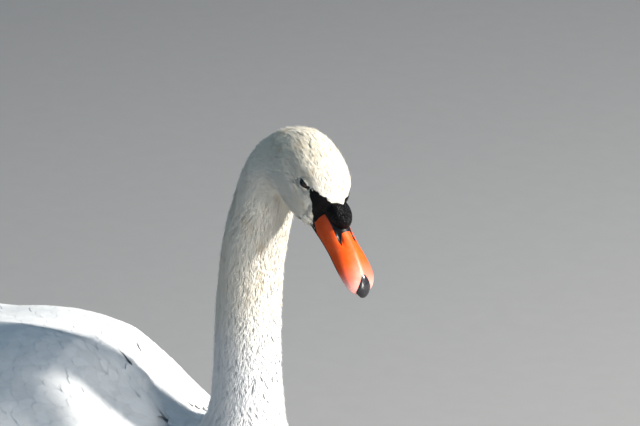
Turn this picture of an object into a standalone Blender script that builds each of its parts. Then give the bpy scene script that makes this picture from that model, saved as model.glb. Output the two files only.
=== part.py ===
"""A life-size mute swan resting on its belly, feet tucked under, head turned a little to its right.

Frame: +X forward along the body, +Y to the bird's left, +Z up, metres. The floor is z = 0 and the
origin lies under the middle of the bird's bounding box. The flesh is one loft along the spine, from
the tail to the bill, parted into named lengths by thin cuts. Folded wings lie over the trunk, and
the feet lie flat on the floor under the flanks.
"""

import math
from collections import namedtuple

import bmesh
import bpy
from mathutils import Matrix, Vector
from mathutils.bvhtree import BVHTree

# ---------------------------------------------------------------- driving sizes
CUT = 0.0003                     # gap between touching pieces
SECTION_SIDES = 28               # sides of a ring round the trunk
NECK_SIDES = 24                  # sides of a ring round the neck and the head
BILL_SIDES = 16

HEAD_YAW = math.radians(-17.8)   # the head looks to the bird's right
BILL_PITCH = math.radians(44.3)  # and the bill points down by this much
BILL_TIP = Vector((0.412, -0.045, 0.440))

EYE_RADIUS = 0.0066
EYE_SEAT = Vector((-0.1155, 0.0222, 0.0275))   # centre of the left eye, in the head's frame
KNOB_SEAT = Vector((-0.0775, 0, 0.0260))
KNOB_RADII = (0.0168, 0.0116, 0.0126)
NAIL_SEAT = Vector((-0.0075, 0, 0.0065))
NAIL_RADII = (0.0125, 0.0066, 0.0056)
NAIL_PITCH = math.radians(36)    # the nail hooks down from the bill's top by this much

WING_BITE = 0.0010               # the folded wing sinks this far into the trunk's coat
WING_EDGE = 0.0040               # least thickness of the folded wing
WING_COLUMNS = 10
WING_ROWS = 14
WINGTIP_ROWS = 6
WINGTIP_STARTS = 9.2             # number along the wing's stations where the long feathers begin

HOCK = Vector((-0.168, 0.090, 0.0125))
ANKLE = Vector((-0.060, 0.100, 0.0085))
KNEE = Vector((-0.115, 0.082, 0.0900))
SHANK_RADII = (0.0125, 0.0085)
THIGH_RADII = (0.0135, 0.0360)
FOOT_TURN = math.radians(7)      # toes point outward by this much
TOES = ((-12, 0.118), (0, 0.148), (11, 0.140))   # degrees off the middle toe, length to the claw's tip
TOE_HEIGHT = 0.0085              # a toe's thickness at the ankle
WEB_HEIGHT = 0.0026

# ---------------------------------------------------------------- frames
# The head's own frame: origin at the bill's tip, +X along the bill, +Z out of the crown.
HEAD = (
    Matrix.Translation(BILL_TIP)
    @ Matrix.Rotation(HEAD_YAW, 4, "Z")
    @ Matrix.Rotation(BILL_PITCH, 4, "Y")
)


def head_point(x, y, z):
    """A point given in the head's frame, in the bird's frame."""
    return HEAD @ Vector((x, y, z))


# ---------------------------------------------------------------- the spine's stations
# One ring of the loft: centre of the section, the heading of its plane, how far it reaches from the
# centre on the back, belly and sides, and how square its lower half is (2 is an ellipse).
Station = namedtuple("Station", "centre yaw back belly side square")


def station(x, y, z, back, belly, side, yaw=0.0, square=2.0):
    return Station(Vector((x, y, z)), yaw, back, belly, side, square)


def head_station(x, z, back, belly, side, square=2.0):
    """A station whose centre is given along the head's own axis."""
    return Station(head_point(x, 0, z), HEAD_YAW, back, belly, side, square)


TAIL = [
    station(-0.530, 0, 0.214, 0.0020, 0.0020, 0.008),
    station(-0.505, 0, 0.212, 0.0035, 0.0040, 0.030),
    station(-0.450, 0, 0.208, 0.0070, 0.0090, 0.052),
    station(-0.380, 0, 0.200, 0.0160, 0.0240, 0.060),
]
TRUNK = [
    station(-0.310, 0, 0.187, 0.0460, 0.0660, 0.086, square=2.1),
    station(-0.210, 0, 0.166, 0.0920, 0.1220, 0.126, square=2.2),
    station(-0.105, 0, 0.153, 0.1240, 0.1530, 0.147, square=2.3),
    station(0.000, 0, 0.150, 0.1340, 0.1560, 0.153, square=2.3),
    station(0.085, 0, 0.152, 0.1235, 0.1570, 0.141, square=2.2),
    station(0.150, 0, 0.158, 0.0980, 0.1500, 0.120, square=2.1),
    station(0.197, 0, 0.178, 0.0725, 0.1140, 0.100),
    station(0.226, 0, 0.212, 0.0500, 0.0735, 0.073),
]
NECK = [
    station(0.239, 0, 0.256, 0.0425, 0.0420, 0.0440),
    station(0.242, 0, 0.302, 0.0375, 0.0335, 0.0360),
    station(0.243, 0, 0.352, 0.0365, 0.0320, 0.0340, yaw=0.15 * HEAD_YAW),
    station(0.2455, 0, 0.404, 0.0345, 0.0315, 0.0328, yaw=0.4 * HEAD_YAW),
    station(0.2510, -0.001, 0.452, 0.0320, 0.0330, 0.0322, yaw=0.65 * HEAD_YAW),
    station(0.2590, 0.000, 0.486, 0.0298, 0.0338, 0.0315, yaw=0.85 * HEAD_YAW),
    station(0.2685, 0.001, 0.519, 0.0280, 0.0320, 0.0305, yaw=HEAD_YAW),
    station(0.2840, -0.004, 0.5365, 0.0308, 0.0300, 0.0305, yaw=HEAD_YAW),
]
CRANIUM = [
    station(0.3030, -0.0100, 0.5430, 0.0388, 0.0303, 0.0310, yaw=HEAD_YAW),
    station(0.3215, -0.0159, 0.5400, 0.0480, 0.0330, 0.0320, yaw=HEAD_YAW),
    head_station(-0.120, 0.0100, 0.0470, 0.0390, 0.0300),
    head_station(-0.105, 0.0080, 0.0428, 0.0370, 0.0270),
    head_station(-0.092, 0.0060, 0.0335, 0.0270, 0.0220),
    head_station(-0.084, 0.0050, 0.0252, 0.0200, 0.0180),
]
SPINE = TAIL + TRUNK + NECK + CRANIUM


def spline(values, t):
    """Catmull-Rom through evenly numbered values, at the number t."""
    i = min(max(int(t), 0), len(values) - 2)
    u = t - i
    b, c = values[i], values[i + 1]
    a = values[i - 1] if i > 0 else b + (b - c)
    d = values[i + 2] if i + 2 < len(values) else c + (c - b)
    return (
        b
        + 0.5 * u * (c - a)
        + u * u * (a - 2.5 * b + 2 * c - 0.5 * d)
        + u * u * u * (-0.5 * a + 1.5 * b - 1.5 * c + 0.5 * d)
    )


def spline_fields(stations, names, t):
    return [spline([getattr(s, name) for s in stations], t) for name in names]


CENTRES = [s.centre for s in SPINE]


def section_at(t):
    """Centre, along, left and up directions, and the sizes of the spine's section at the number t."""
    step = 0.02
    centre = spline(CENTRES, t)
    ahead = spline(CENTRES, min(t + step, len(SPINE) - 1))
    behind = spline(CENTRES, max(t - step, 0))
    along = (ahead - behind).normalized()
    yaw = spline([s.yaw for s in SPINE], t)
    left = Vector((-math.sin(yaw), math.cos(yaw), 0))
    left = (left - along * left.dot(along)).normalized()
    up = along.cross(left)
    return centre, along, left, up, spline_fields(SPINE, ("back", "belly", "side", "square"), t)


def power(value, exponent):
    return math.copysign(abs(value) ** exponent, value)


def ring(t, sides, shift=0.0, swell=0.0):
    """One ring of the body's skin. No point lies under the floor, which flattens the keel."""
    centre, along, left, up, (back, belly, side, square) = section_at(t)
    points = []
    for k in range(sides):
        angle = 2 * math.pi * k / sides
        c, s = math.cos(angle), math.sin(angle)
        below = s < 0
        n = square if below else 2.0
        height = (belly if below else back) + swell
        p = centre + left * (side + swell) * power(c, 2 / n) + up * height * power(s, 2 / n)
        p += along * shift
        p.z = max(p.z, -swell)
        points.append(p)
    return points


# ---------------------------------------------------------------- materials
def material(name, colour, roughness, metallic=0.0):
    found = bpy.data.materials.get(name)
    if found:
        return found
    made = bpy.data.materials.new(name)
    made.use_nodes = True
    shader = made.node_tree.nodes["Principled BSDF"]
    shader.inputs["Base Color"].default_value = (*colour, 1)
    shader.inputs["Roughness"].default_value = roughness
    shader.inputs["Metallic"].default_value = metallic
    return made


def white_plumage():
    return material("white_plumage", (0.90, 0.90, 0.90), 0.85)


def cream_plumage():
    return material("cream_plumage", (0.91, 0.88, 0.80), 0.85)


def orange_bill():
    return material("orange_bill", (0.85, 0.20, 0.03), 0.40)


def black_bill():
    return material("black_bill", (0.015, 0.014, 0.016), 0.45)


def dark_eye():
    return material("dark_eye", (0.02, 0.012, 0.008), 0.08)


def foot_skin():
    return material("foot_skin", (0.035, 0.035, 0.038), 0.60)


# ---------------------------------------------------------------- mesh helpers
def add_object(name, bm, finish):
    bmesh.ops.recalc_face_normals(bm, faces=bm.faces)
    if bm.calc_volume(signed=True) < 0:
        bmesh.ops.reverse_faces(bm, faces=bm.faces)
    mesh = bpy.data.meshes.new(name)
    bm.to_mesh(mesh)
    bm.free()
    mesh.materials.append(finish)
    mesh.shade_smooth()
    mesh.set_sharp_from_angle(angle=math.radians(50))
    made = bpy.data.objects.new(name, mesh)
    bpy.context.scene.collection.objects.link(made)
    return made


def lofted(rings):
    """A closed bmesh through rings of equal length, capped at both ends."""
    bm = bmesh.new()
    loops = [[bm.verts.new(p) for p in points] for points in rings]
    for a, b in zip(loops, loops[1:]):
        for k in range(len(a)):
            j = (k + 1) % len(a)
            bm.faces.new((a[k], a[j], b[j]))
            bm.faces.new((a[k], b[j], b[k]))
    bm.faces.new(loops[0])
    bm.faces.new(loops[-1])
    return bm


def shell(upper, lower):
    """A closed bmesh between two grids of the same size, such as a wing's outer and inner side."""
    rings = [top + list(reversed(bottom)) for top, bottom in zip(upper, lower)]
    return lofted(rings)


def body_rings(first, last, rings, sides, swell=0.0):
    made = []
    for i in range(rings + 1):
        t = first + (last - first) * i / rings
        shift = (CUT / 2 - swell) * ((i == 0) - (i == rings))
        made.append(ring(t, sides, shift, swell))
    return made


def ball(name, matrix, radii, finish, segments=12, rings=8):
    bm = bmesh.new()
    bmesh.ops.create_uvsphere(bm, u_segments=segments, v_segments=rings, radius=1)
    bm.transform(matrix @ Matrix.Diagonal((*radii, 1)))
    return add_object(name, bm, finish)


def capsule(name, start, end, radii, finish):
    """A rod with round ends, one radius at its start and another at its end."""
    bm = bmesh.new()
    for place, radius in zip((start, end), radii):
        bmesh.ops.create_uvsphere(
            bm, u_segments=10, v_segments=6, radius=radius, matrix=Matrix.Translation(place)
        )
    bmesh.ops.delete(bm, geom=bm.edges[:], context="EDGES_FACES")
    hull = bmesh.ops.convex_hull(bm, input=bm.verts)
    bmesh.ops.delete(bm, geom=hull["geom_interior"], context="VERTS")
    return add_object(name, bm, finish)


def cutter(obj):
    """Marks a solid that shapes others and isn't part of the bird."""
    obj.hide_render = True
    obj.display_type = "WIRE"
    return obj


def carve(target, tool):
    change = target.modifiers.new("less_" + tool.name, "BOOLEAN")
    change.operation = "DIFFERENCE"
    change.solver = "EXACT"
    change.object = tool


# ---------------------------------------------------------------- trunk, neck, head, tail
TAIL_ENDS = len(TAIL) - 1
NECK_STARTS = len(TAIL) + len(TRUNK) - 0.6
NECK_THIRD = NECK_STARTS + 2.0
NECK_BEND = NECK_STARTS + 4.0
HEAD_STARTS = len(TAIL) + len(TRUNK) + len(NECK) - 0.5
HEAD_ENDS = len(SPINE) - 1
TRUNK_RINGS = 20


def build_body():
    white, cream = white_plumage(), cream_plumage()
    lengths = (
        ("tail", 0, TAIL_ENDS, 9, NECK_SIDES, white),
        ("trunk", TAIL_ENDS, NECK_STARTS, TRUNK_RINGS, SECTION_SIDES, white),
        ("neck_lower", NECK_STARTS, NECK_THIRD, 6, NECK_SIDES, cream),
        ("neck_middle", NECK_THIRD, NECK_BEND, 6, NECK_SIDES, cream),
        ("neck_upper", NECK_BEND, HEAD_STARTS, 9, NECK_SIDES, cream),
        ("head", HEAD_STARTS, HEAD_ENDS, 15, NECK_SIDES, cream),
    )
    made = {}
    for name, first, last, rings, sides, finish in lengths:
        made[name] = add_object(name, lofted(body_rings(first, last, rings, sides)), finish)
    return made


# ---------------------------------------------------------------- folded wings
# One section of the folded wing, in a plane across the body. The angles turn about an axis at the
# given height, 0 level with it and 90 straight up; the feathers lie on the trunk or, behind it, on
# a bed of the given half-width and height above the axis.
WingStation = namedtuple("WingStation", "x axis lower upper thick wide high")
WING = [
    WingStation(0.184, 0.170, 40, 70, 0.004, 0.020, 0.020),
    WingStation(0.145, 0.166, 24, 80, 0.006, 0.040, 0.040),
    WingStation(0.100, 0.160, 6, 86, 0.010, 0.060, 0.060),
    WingStation(0.058, 0.155, -3, 88, 0.032, 0.070, 0.070),
    WingStation(0.010, 0.152, -9, 88, 0.034, 0.080, 0.080),
    WingStation(-0.045, 0.152, -12, 88, 0.032, 0.095, 0.095),
    WingStation(-0.100, 0.154, -12, 88, 0.026, 0.105, 0.108),
    WingStation(-0.160, 0.160, -9, 88, 0.026, 0.110, 0.108),
    WingStation(-0.235, 0.172, -4, 88, 0.026, 0.104, 0.090),
    WingStation(-0.310, 0.190, 0, 88, 0.026, 0.088, 0.068),
    WingStation(-0.380, 0.205, 4, 88, 0.020, 0.068, 0.046),
    WingStation(-0.440, 0.213, 8, 88, 0.014, 0.048, 0.034),
    WingStation(-0.495, 0.219, 20, 86, 0.006, 0.022, 0.026),
]


def smooth_step(low, high, value):
    u = min(max((value - low) / (high - low), 0.0), 1.0)
    return u * u * (3 - 2 * u)


def wing_thickness(thick, b):
    """Thin at the lower edge, full at the ridge, lower again toward the groove on the back."""
    rise = 0.30 + 0.70 * smooth_step(0.40, 0.92, b)
    return WING_EDGE + thick * rise * (1 - 0.45 * smooth_step(0.94, 1.0, b))


def wing_row(t, trunk_tree, shift, swell):
    """Outer and inner points of the left wing across its section at the number t."""
    x, axis, lower, upper, thick, wide, high = spline_fields(WING, WingStation._fields, t)
    spare = swell / wide
    low, span = math.radians(lower) - spare, math.radians(upper - lower) + 2 * spare
    centre = Vector((x + shift, 0, axis))
    outer, inner = [], []
    for j in range(WING_COLUMNS + 1):
        b = 1 - (1 - j / WING_COLUMNS) ** 1.5
        out = Vector((0, math.cos(low + span * b), math.sin(low + span * b)))
        bed = 1 / math.hypot(out.y / wide, out.z / high)
        hit = trunk_tree.ray_cast(centre + out, -out)[0]
        trunk = (hit - centre).length - WING_BITE if hit else 0.0
        reach = (bed ** 12 + trunk ** 12) ** (1 / 12)
        inner.append(centre + out * (reach - swell))
        outer.append(centre + out * (reach + wing_thickness(thick, b) + swell))
    return outer, inner


def add_wing(name, first, last, count, sign, trunk_tree, swell=0.0):
    rows = []
    for i in range(count + 1):
        t = first + (last - first) * i / count
        shift = (swell - CUT / 2) * ((i == 0) - (i == count))
        rows.append(wing_row(t, trunk_tree, shift, swell))
    bm = shell([r[0] for r in rows], [r[1] for r in rows])
    bm.transform(Matrix.Diagonal((1, sign, 1, 1)))
    return add_object(name, bm, white_plumage())


def build_wings(trunk):
    tree = BVHTree.FromPolygons(
        [v.co for v in trunk.data.vertices], [p.vertices for p in trunk.data.polygons]
    )
    last = len(WING) - 1
    for side, sign in (("left", 1), ("right", -1)):
        add_wing(f"wing_{side}", 0, WINGTIP_STARTS, WING_ROWS, sign, tree)
        add_wing(f"wingtip_{side}", WINGTIP_STARTS, last, WINGTIP_ROWS, sign, tree)
        room = add_wing(f"wing_room_{side}", 0, WINGTIP_STARTS, WING_ROWS, sign, tree, CUT)
        carve(trunk, cutter(room))


# ---------------------------------------------------------------- bill, knob, nail, eyes
# One section across the bill, in the head's frame: place, top, level of the cutting edge, bottom of
# the lower half, half-width, and how square the arch is.
BillStation = namedtuple("BillStation", "x top edge bottom side square")
BILL = [
    BillStation(-0.0960, 0.0250, -0.0030, -0.0110, 0.0150, 1.8),
    BillStation(-0.0800, 0.0270, -0.0010, -0.0110, 0.0160, 1.8),
    BillStation(-0.0640, 0.0240, 0.0012, -0.0090, 0.0158, 1.9),
    BillStation(-0.0480, 0.0215, 0.0028, -0.0060, 0.0160, 2.0),
    BillStation(-0.0340, 0.0200, 0.0038, -0.0032, 0.0172, 2.1),
    BillStation(-0.0200, 0.0172, 0.0048, -0.0004, 0.0178, 2.2),
    BillStation(-0.0105, 0.0145, 0.0042, 0.0010, 0.0163, 2.2),
    BillStation(-0.0040, 0.0095, 0.0020, 0.0008, 0.0122, 2.1),
    BillStation(-0.0005, 0.0040, -0.0010, -0.0014, 0.0052, 2.0),
]
LOWER_BILL_ENDS = 5.2            # the lower half stops behind the nail
LOWER_BILL_SIDE = 0.86           # and is this share as wide as the upper


def bill_ring(t, upper, swell):
    x, top, edge, bottom, side, square = spline_fields(BILL, BillStation._fields, t)
    base = edge + CUT / 2 if upper else edge - CUT / 2
    away = 1 if upper else -1
    height = (top if upper else bottom) - base + 2 * swell * away
    wide = (side if upper else side * LOWER_BILL_SIDE) + swell
    base -= swell * away
    points = []
    for k in range(BILL_SIDES):
        angle = math.pi * k / (BILL_SIDES - 1)
        across = wide * power(math.cos(angle), 2 / square)
        level = base + height * math.sin(angle) ** (2 / square)
        points.append(head_point(x - (swell if t == 0 else 0), across, level))
    return points


def half_bill(name, upper, swell=0.0):
    last = len(BILL) - 1 if upper else LOWER_BILL_ENDS
    count = 14 if upper else 9
    rings = [bill_ring(last * i / count, upper, swell) for i in range(count + 1)]
    return add_object(name, lofted(rings), orange_bill() if upper else black_bill())


def head_ball(name, seat, radii, finish, swell=0.0, pitch=0.0):
    sizes = [r + swell for r in radii]
    return ball(name, HEAD @ Matrix.Translation(seat) @ Matrix.Rotation(pitch, 4, "Y"), sizes, finish)


def build_face(head):
    black = black_bill()
    upper = half_bill("bill_upper", True)
    half_bill("bill_lower", False)
    head_ball("bill_knob", KNOB_SEAT, KNOB_RADII, black)
    head_ball("bill_nail", NAIL_SEAT, NAIL_RADII, black, pitch=NAIL_PITCH)
    knob_room = cutter(head_ball("knob_room", KNOB_SEAT, KNOB_RADII, black, CUT))
    nail_room = cutter(head_ball("nail_room", NAIL_SEAT, NAIL_RADII, black, CUT, NAIL_PITCH))
    carve(upper, knob_room)
    carve(upper, nail_room)
    carve(head, knob_room)
    carve(head, cutter(half_bill("upper_room", True, CUT)))
    carve(head, cutter(half_bill("lower_room", False, CUT)))
    for side, sign in (("left", 1), ("right", -1)):
        seat = Vector((EYE_SEAT.x, sign * EYE_SEAT.y, EYE_SEAT.z))
        radii = (EYE_RADIUS,) * 3
        head_ball(f"eye_{side}", seat, radii, dark_eye())
        carve(head, cutter(head_ball(f"eye_room_{side}", seat, radii, dark_eye(), CUT)))


# ---------------------------------------------------------------- legs and feet
def toe_at(angle):
    """How near this heading is to a toe, 1 on it and 0 midway, and the foot's reach there."""
    for (a, near), (b, far) in zip(TOES, TOES[1:]):
        if a <= angle <= b:
            u = (angle - a) / (b - a)
            share = abs(2 * u - 1)
            straight = near + (far - near) * u
            return share ** 3, straight * (0.80 + 0.20 * share ** 4)
    return 1.0, TOES[0][1]


def foot_rows():
    """Upper and lower points of the left foot: rows run out from the ankle, columns across the web."""
    columns, rows = 12, 6
    start = SHANK_RADII[1] + CUT
    upper, lower = [], []
    for i in range(rows + 1):
        out = i / rows
        top, bottom = [], []
        for j in range(columns + 1):
            angle = TOES[0][0] + (TOES[-1][0] - TOES[0][0]) * j / columns
            ridge, reach = toe_at(angle)
            heading = FOOT_TURN + math.radians(angle)
            away = Vector((math.cos(heading), math.sin(heading), 0))
            place = Vector((ANKLE.x, ANKLE.y, 0)) + away * (start + (reach - start) * out)
            toe = TOE_HEIGHT * (1 - 0.45 * out) * (1 - 0.55 * smooth_step(0.86, 1.0, out))
            height = WEB_HEIGHT * (1 - 0.35 * out) + (toe - WEB_HEIGHT) * ridge
            top.append(place + Vector((0, 0, height)))
            bottom.append(place)
        upper.append(top)
        lower.append(bottom)
    return upper, lower


def build_legs():
    finish = foot_skin()
    swollen = body_rings(TAIL_ENDS, NECK_STARTS, TRUNK_RINGS, SECTION_SIDES, CUT)
    trunk_room = cutter(add_object("trunk_room", lofted(swollen), finish))
    upper, lower = foot_rows()
    radii = tuple(r + CUT for r in SHANK_RADII)
    for side, sign in (("left", 1), ("right", -1)):
        mirror = Matrix.Diagonal((1, sign, 1, 1))
        hock, ankle, knee = mirror @ HOCK, mirror @ ANKLE, mirror @ KNEE
        capsule(f"leg_{side}", hock, ankle, SHANK_RADII, finish)
        room = cutter(capsule(f"leg_room_{side}", hock, ankle, radii, finish))
        rise = Vector((0, 0, THIGH_RADII[0]))
        thigh = capsule(f"thigh_{side}", hock + rise, knee, THIGH_RADII, white_plumage())
        carve(thigh, trunk_room)
        carve(thigh, room)
        bm = shell(upper, lower)
        bm.transform(mirror)
        add_object(f"foot_{side}", bm, finish)


# ---------------------------------------------------------------- the whole bird
def rest_on_origin():
    """Moves all the meshes so that the origin lies under the middle of the bird's box."""
    points = [v.co for o in bpy.data.objects if not o.hide_render for v in o.data.vertices]
    low = [min(p[k] for p in points) for k in range(3)]
    high = [max(p[k] for p in points) for k in range(3)]
    shift = Vector((-(low[0] + high[0]) / 2, -(low[1] + high[1]) / 2, -low[2]))
    for obj in bpy.data.objects:
        obj.data.transform(Matrix.Translation(shift))


def main():
    for old in list(bpy.data.objects):
        bpy.data.objects.remove(old)
    body = build_body()
    build_wings(body["trunk"])
    build_face(body["head"])
    build_legs()
    rest_on_origin()


main()
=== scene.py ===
"""The looks of the mute swan: skin, coat of mesh feathers, bill, eyes and feet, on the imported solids."""
import math

import bmesh
import bpy
import numpy as np
from mathutils import Matrix, Vector, noise
from mathutils.bvhtree import BVHTree


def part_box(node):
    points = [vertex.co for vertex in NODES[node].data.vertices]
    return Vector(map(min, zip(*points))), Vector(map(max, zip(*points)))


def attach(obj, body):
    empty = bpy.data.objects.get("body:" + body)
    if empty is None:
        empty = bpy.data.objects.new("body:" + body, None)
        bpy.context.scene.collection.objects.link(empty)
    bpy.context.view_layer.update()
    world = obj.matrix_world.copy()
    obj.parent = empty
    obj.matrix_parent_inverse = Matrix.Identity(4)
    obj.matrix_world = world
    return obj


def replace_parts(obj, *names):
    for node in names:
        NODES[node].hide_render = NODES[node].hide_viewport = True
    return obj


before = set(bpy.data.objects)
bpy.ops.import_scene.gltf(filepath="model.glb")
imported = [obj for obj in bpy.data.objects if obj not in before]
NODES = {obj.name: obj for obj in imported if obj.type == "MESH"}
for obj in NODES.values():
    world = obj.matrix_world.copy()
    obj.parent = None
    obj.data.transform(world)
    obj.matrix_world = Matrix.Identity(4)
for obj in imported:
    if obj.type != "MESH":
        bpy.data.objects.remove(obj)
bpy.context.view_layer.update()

TINTS = np.random.default_rng(7)     # the feathers' own shades
FULL_TURN = 2 * math.pi


# ---------------------------------------------------------------- where the bird stands in the frame
HEAD_YAW = math.radians(-17.8)
BILL_PITCH = math.radians(44.3)
EYE_SEAT = Vector((-0.1155, 0.0222, 0.0275))
MODEL_TIP = Vector((0.412, -0.045, 0.440))      # the bill's tip in the drawing of the spine below
TURN = Matrix.Rotation(HEAD_YAW, 3, "Z") @ Matrix.Rotation(BILL_PITCH, 3, "Y")
EYE_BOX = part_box("eye_left")
TIP = (EYE_BOX[0] + EYE_BOX[1]) / 2 - TURN @ EYE_SEAT
SHIFT = np.array(TIP - MODEL_TIP)
HEAD_AXES = np.array(TURN)                       # columns: along the bill, to its left, out of the crown
HEAD_ORIGIN = np.array(TIP)


def from_head(points):
    """Points given in the head's frame (origin at the bill's tip), in the row frame."""
    return np.asarray(points, float) @ HEAD_AXES.T + HEAD_ORIGIN


def to_head(points):
    return (np.asarray(points, float) - HEAD_ORIGIN) @ HEAD_AXES


# ---------------------------------------------------------------- the spine
# Middle of the body from tail to bill, and how far the section's plane has turned with the head.
SPINE = [
    (-0.530, 0, 0.214, 0), (-0.505, 0, 0.212, 0), (-0.450, 0, 0.208, 0), (-0.380, 0, 0.200, 0),
    (-0.310, 0, 0.187, 0), (-0.210, 0, 0.166, 0), (-0.105, 0, 0.153, 0), (0.000, 0, 0.150, 0),
    (0.085, 0, 0.152, 0), (0.150, 0, 0.158, 0), (0.197, 0, 0.178, 0), (0.226, 0, 0.212, 0),
    (0.239, 0, 0.256, 0), (0.242, 0, 0.302, 0), (0.243, 0, 0.352, 0.15), (0.2455, 0, 0.404, 0.4),
    (0.2510, -0.001, 0.452, 0.65), (0.2590, 0, 0.486, 0.85), (0.2685, 0.001, 0.519, 1),
    (0.2840, -0.004, 0.5365, 1), (0.3030, -0.0100, 0.5430, 1), (0.3215, -0.0159, 0.5400, 1),
]
# The rest of it in the head's frame: place along the head, and level.
HEAD_SPINE = [(-0.120, 0.0100), (-0.105, 0.0080), (-0.092, 0.0060), (-0.078, 0.0060)]
SPINE_STEPS = 40


def catmull(rows, steps):
    """Catmull-Rom through evenly numbered rows, sampled this many times between each two."""
    first = 2 * rows[0] - rows[1]
    last = 2 * rows[-1] - rows[-2]
    r = np.vstack([first, rows, last])
    u = np.arange(steps)[:, None] / steps
    out = []
    for a, b, c, d in zip(r, r[1:], r[2:], r[3:]):
        out.append(b + 0.5 * u * (c - a) + u * u * (a - 2.5 * b + 2 * c - 0.5 * d)
                   + u ** 3 * (-0.5 * a + 1.5 * b - 1.5 * c + 0.5 * d))
    return np.vstack(out + [rows[-1:]])


def unit(v):
    return v / np.maximum(np.linalg.norm(v, axis=-1, keepdims=True), 1e-12)


def make_spine():
    rows = np.array(SPINE, float)
    rows[:, :3] += SHIFT
    ends = np.hstack([from_head([(x, 0, z) for x, z in HEAD_SPINE]), np.ones((len(HEAD_SPINE), 1))])
    fine = catmull(np.vstack([rows, ends]), SPINE_STEPS)
    centre, yaw = fine[:, :3], fine[:, 3] * HEAD_YAW
    along = unit(np.gradient(centre, axis=0))
    left = np.stack([-np.sin(yaw), np.cos(yaw), 0 * yaw], 1)
    left = unit(left - along * (along * left).sum(1, keepdims=True))
    up = np.cross(along, left)
    step = np.linalg.norm(np.diff(centre, axis=0), axis=1)
    return centre, along, left, up, np.concatenate([[0], np.cumsum(step)])


CENTRE, ALONG, LEFT, UP, ARC = make_spine()


def arc_at(station):
    """Length along the spine, from the tail, of a numbered row of SPINE."""
    return ARC[int(round(station * SPINE_STEPS))]


def spine_at(arc):
    parts = [np.stack([np.interp(arc, ARC, table[:, k]) for k in range(3)], -1)
             for table in (CENTRE, ALONG, LEFT, UP)]
    return parts[0], unit(parts[1]), unit(parts[2]), unit(parts[3])


def spine_of(points):
    """Length along the spine of each point, and its angle round it."""
    arcs, angles = [], []
    for part in np.array_split(points, max(1, len(points) // 4000)):
        k = ((part[:, None, :] - CENTRE[None]) ** 2).sum(2).argmin(1)
        d = part - CENTRE[k]
        arcs.append(ARC[k] + (d * ALONG[k]).sum(1) * 0.5)
        angles.append(np.arctan2((d * UP[k]).sum(1), (d * LEFT[k]).sum(1)))
    return np.concatenate(arcs), np.concatenate(angles)


def root_places(points):
    """Each root's length along the spine and angle round it, which its patch of the UV map comes from."""
    arc, angle = spine_of(points)
    return np.stack([arc, angle % FULL_TURN], 1)


def around(count):
    """Evenly spaced angles of a full turn."""
    return np.linspace(0, FULL_TURN, count, endpoint=False)


ARC_NECK = arc_at(11.4)          # where the trunk ends and the neck starts
ARC_NAPE = arc_at(18.2)          # where the neck ends and the head's short plumage starts
ARC_HEAD = arc_at(20.0)
ARC_HALF = ARC_NECK + 0.47 * (ARC_NAPE - ARC_NECK)


def smooth_step(low, high, value):
    u = np.clip((value - low) / (high - low), 0, 1)
    return u * u * (3 - 2 * u)


# ---------------------------------------------------------------- meshes from arrays


def new_object(name, mesh, finish):
    mesh.materials.append(finish)
    obj = bpy.data.objects.new(name, mesh)
    bpy.context.scene.collection.objects.link(obj)
    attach(obj, "root")
    return obj


def build_mesh(name, points, faces, normals=None, uv=None, fields=None):
    """A mesh of triangles or quads from arrays. The uv and the fields are given per vertex."""
    faces = np.ascontiguousarray(faces, np.int32)
    mesh = bpy.data.meshes.new(name)
    mesh.vertices.add(len(points))
    mesh.vertices.foreach_set("co", np.ascontiguousarray(points, np.float32).ravel())
    mesh.loops.add(faces.size)
    mesh.loops.foreach_set("vertex_index", faces.ravel())
    mesh.polygons.add(len(faces))
    mesh.polygons.foreach_set("loop_start", np.arange(0, faces.size, faces.shape[1], dtype=np.int32))
    mesh.polygons.foreach_set("use_smooth", np.ones(len(faces), bool))
    mesh.update(calc_edges=True)
    if uv is not None:
        layer = mesh.uv_layers.new(name="OFBake")
        layer.data.foreach_set("uv", np.ascontiguousarray(uv[faces.ravel()], np.float32).ravel())
    for key, values in (fields or {}).items():
        made = mesh.attributes.new(key, "FLOAT", "POINT")
        made.data.foreach_set("value", np.ascontiguousarray(values, np.float32).ravel())
    if normals is not None:
        mesh.normals_split_custom_set_from_vertices(normals.astype(float).tolist())
    return mesh


def grid_quads(rows, columns, closed=False):
    """Quads of a grid of points, rows by columns. A closed grid joins its last column to its first."""
    r = np.arange(rows - 1)[:, None]
    c = np.arange(columns if closed else columns - 1)[None]
    n = (c + 1) % columns
    a, b = r * columns + c, r * columns + n
    return np.stack([a, b, b + columns, a + columns], -1).reshape(-1, 4)


# ---------------------------------------------------------------- the outline that the coat fills
SKIN_VOXEL = 0.004
FLESH = ["trunk", "tail", "neck_lower", "neck_middle", "neck_upper", "head", "wing_left", "wing_right",
         "wingtip_left", "wingtip_right", "thigh_left", "thigh_right"]


def read(items, key, width, kind):
    values = np.empty(len(items) * width, kind)
    items.foreach_get(key, values)
    return values.reshape(-1, width)


def mesh_arrays(mesh):
    mesh.calc_loop_triangles()
    points = read(mesh.vertices, "co", 3, np.float32).astype(float)
    return points, read(mesh.loop_triangles, "vertices", 3, np.int32)


def joined(pieces):
    """Pairs of points and faces as one pair."""
    starts = np.cumsum([0] + [len(points) for points, _ in pieces])
    faces = [faces + start for (_, faces), start in zip(pieces, starts)]
    return np.vstack([points for points, _ in pieces]), np.vstack(faces)


def joined_nodes(*names):
    return joined([mesh_arrays(NODES[name].data) for name in names])


def tree_of(points, faces):
    return BVHTree.FromPolygons(points.tolist(), faces.tolist())


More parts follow.
